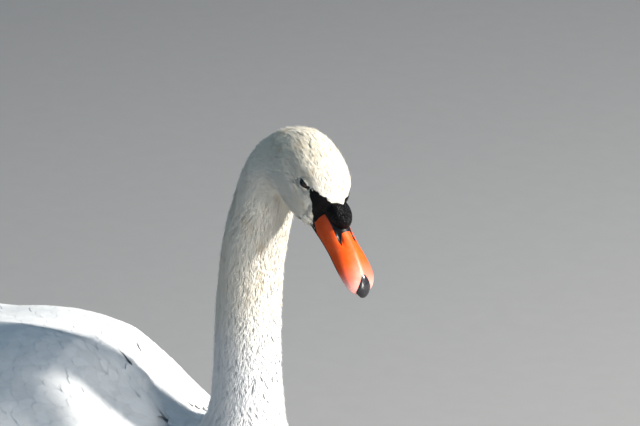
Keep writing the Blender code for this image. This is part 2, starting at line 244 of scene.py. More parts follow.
def remeshed(name, points, faces, voxel):
    """The closed outer surface of overlapping bodies, as points and quads."""
    mesh = build_mesh(name, points, faces)
    obj = bpy.data.objects.new(name, mesh)
    bpy.context.scene.collection.objects.link(obj)
    change = obj.modifiers.new("voxels", "REMESH")
    change.mode = "VOXEL"
    change.voxel_size = voxel
    change.use_smooth_shade = True
    made = bpy.data.meshes.new_from_object(obj.evaluated_get(bpy.context.evaluated_depsgraph_get()))
    bpy.data.objects.remove(obj)
    quads = read(made.loops, "vertex_index", 1, np.int32).reshape(-1, 4)
    return read(made.vertices, "co", 3, np.float32).astype(float), quads


def neighbours_mean(values, quads, rounds, share=0.5):
    """Each vertex's value moved toward the mean of its neighbours' values, this many times."""
    ends = np.concatenate([quads[:, [0, 1]], quads[:, [1, 2]], quads[:, [2, 3]], quads[:, [3, 0]]])
    count = np.bincount(ends.ravel(), minlength=len(values)).astype(float)
    count = np.maximum(count, 1)[:, None]
    values = values.reshape(len(values), -1).copy()
    for _ in range(rounds):
        total = np.zeros_like(values)
        for k in range(values.shape[1]):
            total[:, k] = (np.bincount(ends[:, 0], values[ends[:, 1], k], len(values))
                           + np.bincount(ends[:, 1], values[ends[:, 0], k], len(values)))
        values += share * (total / count - values)
    return values


def taubin(points, quads, rounds):
    """Smooths the facets away without shrinking the body."""
    for _ in range(rounds):
        points = neighbours_mean(points, quads, 1, 0.55)
        points = neighbours_mean(points, quads, 1, -0.57)
    return points


def vertex_normals(points, quads):
    a, b, c, d = (points[quads[:, k]] for k in range(4))
    face = np.cross(c - a, d - b)
    out = np.zeros_like(points)
    for k in range(4):
        for axis in range(3):
            out[:, axis] += np.bincount(quads[:, k], face[:, axis], len(points))
    return unit(out)


class Outline:
    """A surface that pieces are laid on. The main one is the body's, which the coat's tips reach."""

    def __init__(self, points, quads):
        self.points, self.quads = points, quads
        self.normals = vertex_normals(points, quads)
        self.face_normals = unit(self.normals[quads].mean(1))
        self.tree = tree_of(points, quads)

    def settle(self, points, height):
        """Each point's foot on the surface, raised by its height, and the smoothed normal there."""
        flat = points.reshape(-1, 3)
        feet = np.empty_like(flat)
        index = np.empty(len(flat), int)
        find = self.tree.find_nearest
        for i, p in enumerate(flat.tolist()):
            foot, _, index[i], _ = find(p)
            feet[i] = foot
        normals = self.face_normals[index]
        height = np.broadcast_to(height, points.shape[:-1]).reshape(-1, 1)
        return (feet + normals * height).reshape(points.shape), normals.reshape(points.shape)

    def cast(self, starts, directions):
        """Where rays from these points meet the surface, or NaN."""
        out = np.full_like(starts, np.nan)
        ray = self.tree.ray_cast
        for i, (s, d) in enumerate(zip(starts.tolist(), directions.tolist())):
            hit = ray(s, d)[0]
            if hit is not None:
                out[i] = hit
        return out


# Swellings and hollows of the head, in its frame in mm: the middle's place along the head, out to the
# side and up, then the length and the height, and how far it rises.
HEAD_BUMPS = [
    (-116, 25, 30, 8, 5, -1.5), (-134, 28, 27, 13, 5, -1.9), (-116, 20, 41, 16, 6, 1.5),
    (-136, 24, 39, 14, 7, 0.8), (-118, 26, 12, 16, 9, 0.9)]
BUMP_WIDTH = 14


def sculpt_head(points, normals):
    """The brow over the eye, the hollow in front of and behind it, and the cheek."""
    h = to_head(points) * 1000
    side = np.abs(h[:, 1])
    move = np.zeros(len(h))
    for x, y, z, wide, tall, rise in HEAD_BUMPS:
        far = ((h[:, 0] - x) / wide) ** 2 + ((h[:, 2] - z) / tall) ** 2 + ((side - y) / BUMP_WIDTH) ** 2
        move += rise * np.exp(-far)
    return points + normals * move[:, None] / 1000


RUMP = (-0.405, 0, 0.229)        # a pad of down between the wings' tips and the tail
RUMP_RADII = (0.112, 0.052, 0.027)
BACK_PLACES = np.arange(-0.30, 0.09, 0.015)      # small pads in the groove between the wings
BACK_RADII = (0.026, 0.020, 0.021)
GROOVE_SIDE = 0.018              # the groove's half-width
GROOVE_DEPTH = 0.022             # the pads' middles lie this far under its lower edge


def with_pads(points, faces):
    """The solids, with the down behind the wings' tips and between the wings on the back."""
    ball = bmesh.new()
    bmesh.ops.create_icosphere(ball, subdivisions=4, radius=1.0)
    sphere = np.array([v.co[:] for v in ball.verts])
    shell = np.array([[v.index for v in f.verts] for f in ball.faces])
    ball.free()
    tree = tree_of(points, faces)
    pieces = [(points, faces), (sphere * RUMP_RADII + (np.array(RUMP) + SHIFT), shell)]
    for x in BACK_PLACES + SHIFT[0]:
        tops = [tree.ray_cast((x, y, 1.0), (0, 0, -1))[0].z for y in (-GROOVE_SIDE, GROOVE_SIDE)]
        pieces.append((sphere * BACK_RADII + np.array([x, 0, min(tops) - GROOVE_DEPTH]), shell))
    return joined(pieces)


CREASE_ROUNDS = 150              # rounds of smoothing that find the creases between the solids
CREASE_FILL = 0.025              # the most that fills a crease


def make_outline():
    points, quads = remeshed("outline", *with_pads(*joined_nodes(*FLESH)), SKIN_VOXEL)
    points = taubin(points, quads, 9)
    points = sculpt_head(points, vertex_normals(points, quads))
    normals = vertex_normals(points, quads)
    filled = neighbours_mean(points, quads, CREASE_ROUNDS)
    raised = np.clip(((filled - points) * normals).sum(1), 0, CREASE_FILL)
    raised *= smooth_step(0.36, 0.30, points[:, 2]) * smooth_step(0.02, 0.06, points[:, 2])
    return Outline(points + normals * neighbours_mean(raised, quads, 3), quads)


OUTLINE = make_outline()


# ---------------------------------------------------------------- materials


class Finish:
    """A material whose colour, roughness and bump come from nodes."""

    def __init__(self, name, **sockets):
        self.material = bpy.data.materials.new(name)
        self.material.use_nodes = True
        self.tree = self.material.node_tree
        self.shader = self.tree.nodes["Principled BSDF"]
        for key, value in sockets.items():
            self.shader.inputs[key.replace("_", " ")].default_value = value

    def node(self, kind, settings=None, **inputs):
        made = self.tree.nodes.new(kind)
        for key, value in (settings or {}).items():
            setattr(made, key, value)
        for key, value in inputs.items():
            numbered = key[0] == "i" and key[1:].isdigit()
            self.put(made.inputs[int(key[1:]) if numbered else key.replace("_", " ")], value)
        return made

    def put(self, socket, value):
        if isinstance(value, bpy.types.NodeSocket):
            self.tree.links.new(value, socket)
        elif isinstance(value, tuple) and len(value) == 3 and socket.type == "RGBA":
            socket.default_value = (*value, 1)
        else:
            socket.default_value = value

    def math(self, operation, a, b=0.0, c=0.0):
        return self.node("ShaderNodeMath", {"operation": operation}, i0=a, i1=b, i2=c).outputs[0]

    def times(self, a, b):
        return self.math("MULTIPLY", a, b)

    def plus(self, a, b):
        return self.math("ADD", a, b)

    def mix(self, share, a, b, blend="MIX"):
        made = self.node("ShaderNodeMix", {"data_type": "RGBA", "blend_type": blend}, i0=share, i6=a, i7=b)
        return made.outputs[2]

    def steps(self, value, low, high, bottom=0.0, top=1.0):
        settings = {"interpolation_type": "SMOOTHSTEP"}
        made = self.node("ShaderNodeMapRange", settings, i0=value, i1=low, i2=high, i3=bottom, i4=top)
        return made.outputs[0]

    def field(self, name):
        return self.node("ShaderNodeAttribute", {"attribute_name": name}).outputs["Fac"]

    def place(self):
        return self.node("ShaderNodeTexCoord").outputs["Object"]

    def stretched(self, scale):
        return self.node("ShaderNodeMapping", i0=self.place(), i3=scale).outputs[0]

    def noise(self, vector, scale, detail=3.0, rough=0.55):
        return self.node("ShaderNodeTexNoise", i0=vector, i2=scale, i3=detail, i4=rough).outputs[0]

    def bump(self, height, strength, distance):
        return self.node("ShaderNodeBump", Strength=strength, Distance=distance, Height=height).outputs[0]

    def finish(self, colour, roughness=None, normal=None):
        for key, value in (("Base Color", colour), ("Roughness", roughness), ("Normal", normal)):
            if value is not None:
                self.put(self.shader.inputs[key], value)
        return self.material


BODY_WHITE = (0.86, 0.87, 0.88)
NECK_CREAM = (0.87, 0.83, 0.74)
CROWN_CREAM = (0.86, 0.79, 0.64)
TAN = (0.62, 0.50, 0.33)


def plumage(name, barbs):
    """White plumage, cream on head and neck with tan soiling; painted shade makes each feather darker toward
    its root.
    """
    f = Finish(name, Roughness=0.85, Specular_IOR_Level=0.15, Sheen_Weight=0.12, Sheen_Roughness=0.5)
    height = f.node("ShaderNodeSeparateXYZ", i0=f.place()).outputs[2]
    creamy = f.steps(height, 0.31, 0.42)
    colour = f.mix(creamy, BODY_WHITE, NECK_CREAM)
    crown = f.steps(height, 0.53, 0.575)
    colour = f.mix(f.times(crown, 0.7), colour, CROWN_CREAM)
    stain = f.steps(f.noise(f.stretched((1, 1, 0.45)), 75, 3.0), 0.50, 0.72)
    broad = f.steps(f.noise(f.stretched((1, 1, 0.6)), 14, 2.0), 0.42, 0.62)
    stain = f.times(f.times(stain, broad), f.times(creamy, 0.55))
    colour = f.mix(stain, colour, TAN)
    # painted shade: each feather darker toward its root, where the feathers lying over it would shade it
    root = f.steps(f.field("along"), 0.0, 0.75, 0.90, 1.0)
    tint = f.math("MULTIPLY_ADD", f.field("tint"), 0.10, 0.95)
    # the painted root shade times each feather's own random tone
    shade = f.times(root, tint)
    if barbs:
        slant = f.plus(f.field("length"), f.times(f.field("across"), 0.8))
        line = f.math("SINE", f.times(slant, barbs))
        shade = f.times(shade, f.math("MULTIPLY_ADD", line, 0.02, 0.98))
        shaft = f.steps(f.field("across"), 0.0002, 0.0011, 0.10, 0.0)
        colour = f.mix(shaft, colour, (0.70, 0.64, 0.52))
        normal = f.bump(line, 0.15, 0.0001)
    else:
        normal = f.bump(f.noise(f.place(), 900, 2.0), 0.3, 0.0004)
    grey = f.node("ShaderNodeCombineColor", i0=shade, i1=shade, i2=shade).outputs[0]
    return f.finish(f.mix(1.0, colour, grey, "MULTIPLY"), normal=normal)


SKIN_FINISH = plumage("skin_down", 0)
DOWN = plumage("short_plumage", 0)
VANE = plumage("vaned_plumage", 6500.0)


# ---------------------------------------------------------------- the face's borders
# The bare black skin's border with the feathers, in the head's frame.
FOREHEAD = [(-0.130, 0.030), (-0.1115, 0.0256), (-0.1082, 0.0238), (-0.0943, 0.0159), (-0.0856, 0.0062),
            (-0.0800, 0.0)]          # place along the head, and how far to the side the white reaches there
CHEEK = [(-0.0300, -0.0640), (-0.0080, -0.0670), (0.0015, -0.0714), (0.0030, -0.0800), (0.0045, -0.0860),
         (0.0100, -0.0885), (0.0179, -0.0918), (0.0233, -0.0953), (0.0292, -0.1050), (0.0320, -0.1120),
         (0.0450, -0.1150)]          # level, and the place along the head where the white ends there
EYE_PLACE = (-0.1149, 0.0317)        # the middle of the lids' opening, along the head and up
EYE_SLANT = math.radians(-9)
EYE_HOLE = (0.0052, 0.0020)          # half the lids' opening, along and across
LID_RIM = 0.0009                     # the black rim round it


def bareness(points):
    """How far inside the bare black face a point lies, in metres; negative among the feathers."""
    h = to_head(points)
    forehead = np.abs(h[:, 1]) - np.interp(h[:, 0], *zip(*FOREHEAD))
    cheek = h[:, 0] - np.interp(h[:, 2], *zip(*CHEEK))
    return np.where((h[:, 0] > -0.16) & (h[:, 2] > -0.04), np.minimum(forehead, cheek), -0.05)


def at_eye(points):
    """How near a point is to the middle of an eye, 1 at the edge of the lids' black rim."""
    h = to_head(points)
    x, z = h[:, 0] - EYE_PLACE[0], h[:, 2] - EYE_PLACE[1]
    a = x * math.cos(EYE_SLANT) - z * math.sin(EYE_SLANT)
    b = x * math.sin(EYE_SLANT) + z * math.cos(EYE_SLANT)
    ahead = smooth_step(-0.002, 0.002, a)     # room for the plumage that starts in front and lies back
    long, high = EYE_HOLE[0] + LID_RIM + 0.0065 * ahead, EYE_HOLE[1] + LID_RIM + 0.0009 * ahead
    return np.where(np.abs(h[:, 1]) > 0.012, np.hypot(a / long, b / high), 99.0)


# ---------------------------------------------------------------- the coat's depth, and the skin under it
FACE_SINK = 0.0045               # the skin's depth under the bare face


def coat_depth(points, arc):
    """How far the skin lies under the coat's tips."""
    depth = np.interp(arc, [ARC_NECK - 0.06, ARC_NECK + 0.06, ARC_NAPE - 0.05, ARC_NAPE + 0.01],
                      [0.0040, 0.0024, 0.0022, 0.0015])
    bare = bareness(points)
    return 0.0006 + depth * smooth_step(0.0, 0.022, -bare) + FACE_SINK * smooth_step(0.0, 0.004, bare)


TAIL_ROOT = SHIFT[0] - 0.400     # behind it the flesh draws in under the long feathers


def make_skin():
    points, quads, normals = OUTLINE.points, OUTLINE.quads, OUTLINE.normals
    arc, angle = spine_of(points)
    inner = OUTLINE.cast(points - normals * 0.0004, -normals)
    thick = np.nan_to_num(np.linalg.norm(inner - points, axis=1), nan=0.1)
    depth = neighbours_mean(np.minimum(coat_depth(points, arc), 0.30 * thick), quads, 6)
    h = to_head(points - normals * depth)
    snout = 0.35 * smooth_step(-0.098, -0.087, h[:, 0]) * (bareness(points) > -0.02)
    h[:, 1:] -= snout[:, None] * (h[:, 1:] - np.array([0, 0.008]))
    skin = from_head(h)
    skin[:, 2] = np.maximum(skin[:, 2], 0.001)
    past = smooth_step(0.0, 0.06, TAIL_ROOT - skin[:, 0])
    skin[:, 2] -= 0.003 * past
    skin[:, 1] *= 1 - 0.06 * past
    uv = np.stack([angle / FULL_TURN + 0.5, arc / ARC[-1]], 1)
    # the skin gets the feathers' painted root shade, a little darker than their tips
    fields = {"along": np.full(len(skin), 0.35), "tint": np.full(len(skin), 0.5)}
    mesh = build_mesh("skin", skin, quads, uv=np.clip(uv, 0, 1), fields=fields)
    obj = new_object("skin", mesh, SKIN_FINISH)
    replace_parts(obj, *(name for name in FLESH if not name.startswith(("wingtip", "tail"))))


# ---------------------------------------------------------------- the coat
UV_PATCH = 0.003
RING_RAYS = 48
FAR_OUT = 0.35                   # rays from outside start this far from the spine


def ring_roots(arcs, width, inside, jitter, rng):
    """Roots in staggered rings round the body, with the spine's length and angle at each.

    A ring is where rays from the spine, or toward it from outside, meet the outline."""
    places, where = [], []
    turn = around(RING_RAYS)
    for row, arc in enumerate(arcs):
        centre, along, left, up = spine_at(np.array([arc]))
        ways = left * np.cos(turn)[:, None] + up * np.sin(turn)[:, None]
        starts = np.repeat(centre, RING_RAYS, 0)
        hits = OUTLINE.cast(starts, ways) if inside else OUTLINE.cast(starts + ways * FAR_OUT, -ways)
        good = ~np.isnan(hits[:, 0])
        if good.sum() < RING_RAYS / 4:
            continue
        loop, angle = hits[good], turn[good]
        loop, angle = np.vstack([loop, loop[:1]]), np.append(angle, angle[0] + FULL_TURN)
        run = np.concatenate([[0], np.cumsum(np.linalg.norm(np.diff(loop, axis=0), axis=1))])
        count = max(4, int(run[-1] / width))
        at = np.arange(count) + 0.5 * (row % 2) + jitter * rng.uniform(-1, 1, count)
        at = at % count / count * run[-1]
        p = np.stack([np.interp(at, run, loop[:, k]) for k in range(3)], 1)
        spread = width * jitter * rng.uniform(-1, 1, count)
        places.append(p + along * spread[:, None])
        where.append(np.stack([np.full(count, arc) + spread, np.interp(at, run, angle) % FULL_TURN], 1))
    return np.vstack(places), np.vstack(where)


def coat(name, roots, where, lay, length, width, depth, shape, finish, slot, rows=3, columns=1, top=0.0,
         camber=0.0, tilt=0.0, fan=0.3, soften=0.8, drift=0.0, surface=None, tints=None, shaft=0.0):
    """One piece of coat: vanes laid from their roots along the body, rising from the skin to the outline.

    Sizes are one for all or one per vane. The shape is a vane's width at each row, as a share of its own.
    Drift moves a vane's middle sideways from root to tip. Top is the tip's height over the outline,
    camber and tilt bend it down at both edges and to one side, and shaft raises its middle at the root.
    Soften is how far the shading follows the outline instead of the vane."""
    surface = surface or OUTLINE
    count = len(roots)
    sizes = (length, width, depth, top, drift)
    length, width, depth, top, drift = (np.broadcast_to(size, count)[:, None, None] for size in sizes)
    _, normal = surface.settle(roots, 0.0)
    lay = unit(lay - normal * (lay * normal).sum(1, keepdims=True))
    side = np.cross(normal, lay)
    s = np.linspace(0, 1, rows + 1)[:, None]
    v = np.linspace(-1, 1, columns + 1)
    half = shape(s) * 0.5 * v * width + drift * s
    forward = s * length * np.ones_like(half)
    places = roots[:, None, None] + lay[:, None, None] * forward[..., None]
    places = places + side[:, None, None] * half[..., None]
    height = top * s - depth * (1 - s) ** 1.6 - camber * width * v ** 2 + tilt * v
    height = height + shaft * (np.abs(v) < 0.01) * (1 - s)
    places, normals = surface.settle(places, height)
    places[..., 2] = np.maximum(places[..., 2], 0.0004)
    face = np.cross(np.gradient(places, axis=2), np.gradient(places, axis=1))
    face = unit(face * np.sign((face * normals).sum(-1, keepdims=True)))
    bend = unit(normals * soften + side[:, None, None] * (fan * v)[:, None] + (1 - soften) * face)
    quads = grid_quads(rows + 1, columns + 1)
    faces = quads[None] + np.arange(count)[:, None, None] * ((rows + 1) * (columns + 1))
    corner = places[:, 0, 0]
    flip = (np.cross(places[:, 1, 0] - corner, places[:, 0, -1] - corner) * normal).sum(1) > 0
    faces[flip] = faces[flip][:, :, ::-1]
    u = where[:, 1, None, None] / FULL_TURN + UV_PATCH * 0.5 * v
    w = np.clip(where[:, 0, None, None] / ARC[-1], 0, 1) - UV_PATCH * s
    uv = np.clip(np.stack(np.broadcast_arrays(u, w), -1).reshape(-1, 2), 0, 1)
    tints = TINTS.uniform(0, 1, count) if tints is None else tints
    fields = {"along": s, "tint": tints[:, None, None]}
    if columns > 1:
        fields.update(across=np.abs(half), length=forward)
    fields = {key: np.broadcast_to(values, half.shape).reshape(-1) for key, values in fields.items()}
    mesh = build_mesh(name, places.reshape(-1, 3), faces.reshape(-1, 4), bend.reshape(-1, 3), uv, fields)
    return new_object(name, mesh, finish)


def blade(s):
    """A strand of down: full near the root, drawn out to a point."""
    return 0.12 + 0.88 * (1 - s) ** 0.7


def leaf(s):
    """A contour feather: narrow root, broad middle, round tip."""
    return np.sqrt(np.clip(s, 0, 1) * 0.9 + 0.1) * np.sqrt(np.clip(1.04 - s ** 3.2, 0.02, 1))


def long_vane(s):
    """A flight feather: parallel sides and a round tip."""
    return np.clip(0.35 + 2.2 * s, 0, 1) * np.sqrt(np.clip(1.03 - s ** 7, 0.02, 1))


def clumps(points, size):
    """Smooth random heights, -1 to 1, of locks about this long in metres."""
    scaled = points * (1.0 / size) * (1, 1, 0.55)
    return np.array([noise.noise(Vector(p)) for p in scaled.tolist()]) * 1.8


BORDER_OVERLAP = 0.0006          # the plumage starts this far inside the bare face
FUZZ_SHARE, FUZZ_HEIGHT = 0.10, 0.0013       # blades that stand out over the rest, and how far
DOWN_LENGTHS = ([ARC_NECK - 0.03, ARC_NECK + 0.10, ARC_NAPE - 0.06, ARC_NAPE + 0.02, ARC_HEAD],
                [0.022, 0.015, 0.0125, 0.0085, 0.0070])

# Short plumage: name, first and last place along the spine, the gap between rings and between locks,
# the blades of a lock, a blade's width, the scatter of the locks, and their height.
SHORT_COATS = [
    ("coat_head", ARC_NAPE, ARC[-1] - 0.002, 0.0017, 0.0019, 2, 0.0012, 0.35, 0.0002),
    ("coat_neck_upper", ARC_HALF, ARC_NAPE, 0.0027, 0.0027, 4, 0.0013, 0.45, 0.0006),
    ("coat_neck_lower", ARC_NECK - 0.02, ARC_HALF, 0.0031, 0.0030, 4, 0.0014, 0.45, 0.0007)]


def strands(name, arcs, width, each, thick, jitter, lock, rng):
    """Short plumage as small locks, each of a few fine blades that draw together at the tip."""
    roots, where = ring_roots(arcs, width, True, jitter, rng)
    roots, normal = OUTLINE.settle(roots, 0.0)
    apart = np.linalg.norm(roots - spine_at(where[:, 0])[0], axis=1)
    ok = (apart < 0.085) & (bareness(roots) < BORDER_OVERLAP) & (at_eye(roots) > 1) & (roots[:, 2] > 0.02)
    roots, where, normal = roots[ok], where[ok], normal[ok]
    lay = -spine_at(where[:, 0])[1]
    n = len(roots)
    face = smooth_step(-0.130, -0.080, to_head(roots)[:, 0])
    length = np.interp(where[:, 0], *DOWN_LENGTHS) * rng.uniform(0.8, 1.2, n) * (1 - 0.45 * face)
    by_eye = np.clip(2.0 - at_eye(roots), 0, 1)
    lifted = clumps(roots, lock * 6) * lock + 0.0011 * by_eye
    depth = coat_depth(roots, where[:, 0]) * (1 - by_eye) - 0.0007 * by_eye
    side = np.cross(normal, lay)
    turn = rng.normal(0, 0.16, n) + clumps(roots, lock * 8 + 0.004) * 0.35
    lay = lay + side * turn[:, None]
    spread = (np.arange(each) - (each - 1) / 2) / (each - 1)
    offset = ((spread[None] + rng.uniform(-0.25, 0.25, (n, each))) * width * 1.3).reshape(-1)
    back = (rng.uniform(-0.5, 0.5, (n, each)) * width).reshape(-1)
    many = lambda a: np.repeat(a, each, 0)
    r = many(roots) + many(unit(side)) * offset[:, None] + many(unit(lay)) * back[:, None]
    tints = many(rng.uniform(0, 1, n)) * 0.7 + 0.3 * rng.uniform(0, 1, n * each)
    length = many(length) * rng.uniform(0.85, 1.15, n * each)
    top = many(lifted) + FUZZ_HEIGHT * (rng.uniform(0, 1, n * each) < FUZZ_SHARE)
    coat(name, r, many(where), many(lay), length, thick, many(depth), blade, DOWN, "cream_plumage", top=top,
         drift=-0.6 * offset, soften=0.92, tints=tints)


def make_short_coat():
    rng = np.random.default_rng(11)
    for name, low, high, gap, *rest in SHORT_COATS:
        strands(name, np.arange(low, high, gap), *rest, rng)


# Lengths of the body's and the wings' contour feathers, by place along the body.
BODY_LENGTHS = ([-0.50, -0.43, -0.35, -0.10, 0.12, 0.21, 0.235],
                [0.020, 0.032, 0.042, 0.040, 0.034, 0.026, 0.022])
WING_LENGTHS = ([-0.40, -0.25, -0.10, 0.05, 0.18], [0.085, 0.075, 0.055, 0.040, 0.028])
BODY_BEND = arc_at(9.0)          # ahead of it the body's rings are found from inside

# Contour feathers: name, first and last place along the spine, the gap between rings and between
# feathers, lengths, width as a share of the length, whether rings are found from inside, and whether
# the feathers lie on the folded wings.
CONTOUR_COATS = [
    ("coat_flanks", arc_at(0.8), BODY_BEND, 0.0090, 0.0100, BODY_LENGTHS, 0.55, False, False),
    ("coat_breast", BODY_BEND, ARC_NECK + 0.01, 0.0062, 0.0080, BODY_LENGTHS, 0.50, True, False),
    ("coat_wings", arc_at(4.3), arc_at(10.4), 0.0080, 0.0100, WING_LENGTHS, 0.50, False, True)]


def contour(name, arcs, width, lengths, aspect, inside, winged, rng):
    """Rounded body feathers in staggered rings."""
    roots, where = ring_roots(arcs, width, inside, 0.18, rng)
    roots, normal = OUTLINE.settle(roots, 0.0)
    ok = on_wing(roots) == winged
    roots, where, normal = roots[ok], where[ok], normal[ok]
    n = len(roots)
    along = spine_at(where[:, 0])[1]
    lay = np.cross(normal, -along) * rng.normal(0, 0.07, n)[:, None] - along
    length = np.interp(roots[:, 0] - SHIFT[0], *lengths) * rng.uniform(0.9, 1.1, n)
    depth = np.minimum(coat_depth(roots, where[:, 0]), 0.0020)
    coat(name, roots, where, lay, length, length * aspect, depth, leaf, VANE, "white_plumage", rows=6,
         columns=4, camber=0.010, top=rng.uniform(-0.0001, 0.0002, n), fan=0.05, soften=0.95)


def on_wing(points):
    """Whether each point lies on a folded wing."""
    tree = tree_of(*joined_nodes("wing_left", "wing_right"))
    return np.array([tree.find_nearest(q, 0.004)[0] is not None for q in points.tolist()])


def make_body_coat():
    rng = np.random.default_rng(23)
    for name, low, high, gap, *rest in CONTOUR_COATS:
        contour(name, np.arange(low, high, gap), *rest, rng)


# ---------------------------------------------------------------- flight feathers and tail
# The folded wing, in sections across the body: place, height of the axis it turns about, and the
# angle over that axis, in degrees, of its lower edge.
WING = np.array([
    (0.184, 0.170, 40), (0.100, 0.160, 6), (0.010, 0.152, -9), (-0.100, 0.154, -12), (-0.160, 0.160, -9),
    (-0.235, 0.172, -4), (-0.310, 0.190, 0), (-0.380, 0.205, 4), (-0.440, 0.213, 8), (-0.495, 0.219, 20)])
WING_RIDGE = 86                  # degrees, the edge beside the groove on the back
WING_TAPER = -0.405              # behind this the sections keep one shape and shrink evenly
WING_SHRINK = 3.3                # by this share for each metre


def oriented(points, quads, inside):
    """The quads, turned so that they face away from a point."""
    outward_way = (vertex_normals(points, quads) * (points - inside)).sum()
    return quads if outward_way > 0 else quads[:, ::-1]


def relaxed(grid, rounds, columns="edge"):
    """A smoothed grid of distances. Past its first and last column it goes on by this mode of np.pad."""
    for _ in range(rounds):
        near = np.pad(np.pad(grid, ((1, 1), (0, 0)), "edge"), ((0, 0), (1, 1)), columns)
        sides = near[1:-1, :-2] + near[1:-1, 2:]
        grid = 0.5 * grid + 0.125 * (near[:-2, 1:-1] + near[2:, 1:-1] + sides)
    return grid


class WingSheet:
    """The folded wing's outer surface, carried on behind and below its edges."""

    def __init__(self, sign):
        self.x = np.linspace(0.12, -0.58, 71)
        self.share = np.linspace(-0.25, 1.05, 40)
        axis, low = (np.interp(-self.x, -WING[:, 0], WING[:, k]) for k in (1, 2))
        low = np.radians(low)
        span = math.radians(WING_RIDGE) - low
        angle = low[:, None] + span[:, None] * self.share
        reach = np.empty_like(angle)
        for i, x in enumerate(self.x):
            middle = np.array([max(x, WING_TAPER), 0, axis[i]]) + SHIFT
            for j, share in enumerate(np.clip(self.share, 0.03, 0.97)):
                turn = low[i] + span[i] * share
                way = np.array([0, sign * math.cos(turn), math.sin(turn)])
                hit = OUTLINE.tree.ray_cast((middle + way * 0.4).tolist(), (-way).tolist())[0]
                reach[i, j] = (hit - Vector(middle)).length if hit else np.nan
        for i in range(1, len(reach)):
            reach[i] = np.where(np.isnan(reach[i]), reach[i - 1], reach[i])
        behind = np.clip(WING_TAPER - self.x, 0, None)[:, None]
        reach = relaxed(np.maximum(reach * (1 - WING_SHRINK * behind), 0.030), 4)
        y, z = sign * reach * np.cos(angle), axis[:, None] + reach * np.sin(angle)
        self.grid = np.stack([np.repeat(self.x[:, None], len(self.share), 1), y, z], -1) + SHIFT
        points = self.grid.reshape(-1, 3)
        quads = oriented(points, grid_quads(*reach.shape), points.mean(0) - np.array([0, sign * 0.2, 0.2]))
        self.surface = Outline(points, quads)
    def at(self, x, share):
        """Points of the sheet at these places along the body and shares of the way up the wing."""
        u = np.interp(-np.asarray(x), -self.x, np.arange(len(self.x)))
        v = np.interp(share, self.share, np.arange(len(self.share)))
        i, j = np.minimum(u.astype(int), len(self.x) - 2), np.minimum(v.astype(int), len(self.share) - 2)
        a, b = (u - i)[:, None], (v - j)[:, None]
        g = self.grid
        return (g[i, j] * (1 - a) * (1 - b) + g[i + 1, j] * a * (1 - b) + g[i, j + 1] * (1 - a) * b
                + g[i + 1, j + 1] * a * b)


# Rows of long feathers on each wing, from the lowest up: name and number, then first and last of the
# root's place and share of the way up, the tip's place and share, the width, and the height.
LONG_ROWS = [
    ("primaries", 9, (-0.255, -0.285), (0.16, 0.52), (-0.415, -0.508), (0.24, 0.60),
     (0.026, 0.024), (0.0002, 0.0026)),
    ("secondaries", 18, (0.030, -0.205), (0.20, 0.30), (-0.120, -0.385), (0.01, 0.20),
     (0.034, 0.038), (0.0004, 0.0034)),
    ("tertials", 9, (-0.130, -0.185), (0.36, 0.93), (-0.345, -0.415), (0.30, 0.86),
     (0.050, 0.044), (0.0030, 0.0052))]
LONG_SCATTER = 0.004             # of roots and tips that are more than LONG_GAP apart in a row
LONG_GAP = 0.02


def long_feathers(name, roots, tips, width, depth, surface, **more):
    """Flight feathers from their roots to their tips, on a surface of their own."""
    run = tips - roots
    length = np.linalg.norm(run, axis=1)
    return coat(name, roots, root_places(roots), run, length, width, depth, long_vane, VANE, "white_plumage",
                columns=8, fan=0.06, soften=0.6, surface=surface, shaft=0.0007, **more)


def make_flight_feathers():
    rng = np.random.default_rng(31)
    for side, sign in (("left", 1), ("right", -1)):
        sheet = WingSheet(sign)
        for name, count, *spans in LONG_ROWS:
            u = np.linspace(0, 1, count)
            values = []
            for first, last in spans[:4]:
                scatter = LONG_SCATTER * (abs(last - first) > LONG_GAP) * rng.uniform(-1, 1, count)
                values.append(first + (last - first) * u + scatter)
            if name == "primaries":      # their tips crowd together toward the wing's point
                first, last = spans[2]
                values[2] = first + (last - first) * np.sin(u * math.pi * 0.62)
            width, high = (first + (last - first) * u for first, last in spans[4:])
            obj = long_feathers(f"{name}_{side}", sheet.at(*values[:2]), sheet.at(*values[2:]), width, 0.0020,
                                sheet.surface, rows=20, top=high, camber=0.06, tilt=0.0007)
            if name == "primaries":
                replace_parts(obj, "wingtip_" + side)


TAIL_SIDE = 11                   # tail feathers on each side
TAIL_PLACES = np.array([-0.60, -0.505, -0.450, -0.380, -0.310])
TAIL_TOPS = np.array([0.2165, 0.2155, 0.2150, 0.2160, 0.2330])
TAIL_ARCH = 2.6                  # how the fan's surface falls to the sides, in metres per square metre


def make_tail():
    x, y = np.meshgrid(np.linspace(-0.59, -0.33, 40), np.linspace(-0.12, 0.12, 41), indexing="ij")
    z = np.interp(x, TAIL_PLACES, TAIL_TOPS) - 0.0005 - TAIL_ARCH * y ** 2
    points = np.stack([x, y, z], -1).reshape(-1, 3) + SHIFT
    surface = Outline(points, oriented(points, grid_quads(*x.shape), points.mean(0) - np.array([0, 0, 1.0])))
    k = np.repeat(np.arange(TAIL_SIDE), 2)[::-1]
    sign = np.tile([1, -1], TAIL_SIDE)
    share = k / (TAIL_SIDE - 1)
    roots = np.stack([-0.395 + 0 * share, sign * (0.004 + 0.034 * share), 0 * share], 1)
    tips = np.stack([-0.534 + 0.070 * share ** 1.7, sign * (0.007 + 0.056 * share), 0 * share], 1)
    for ends in (roots, tips):
        ends[:, 2] = np.interp(ends[:, 0], TAIL_PLACES, TAIL_TOPS)
    obj = long_feathers("tail_feathers", roots + SHIFT, tips + SHIFT, 0.033, 0.001, surface, rows=18,
                        top=0.0004 - 0.0005 * k, camber=0.05)
    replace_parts(obj, "tail")


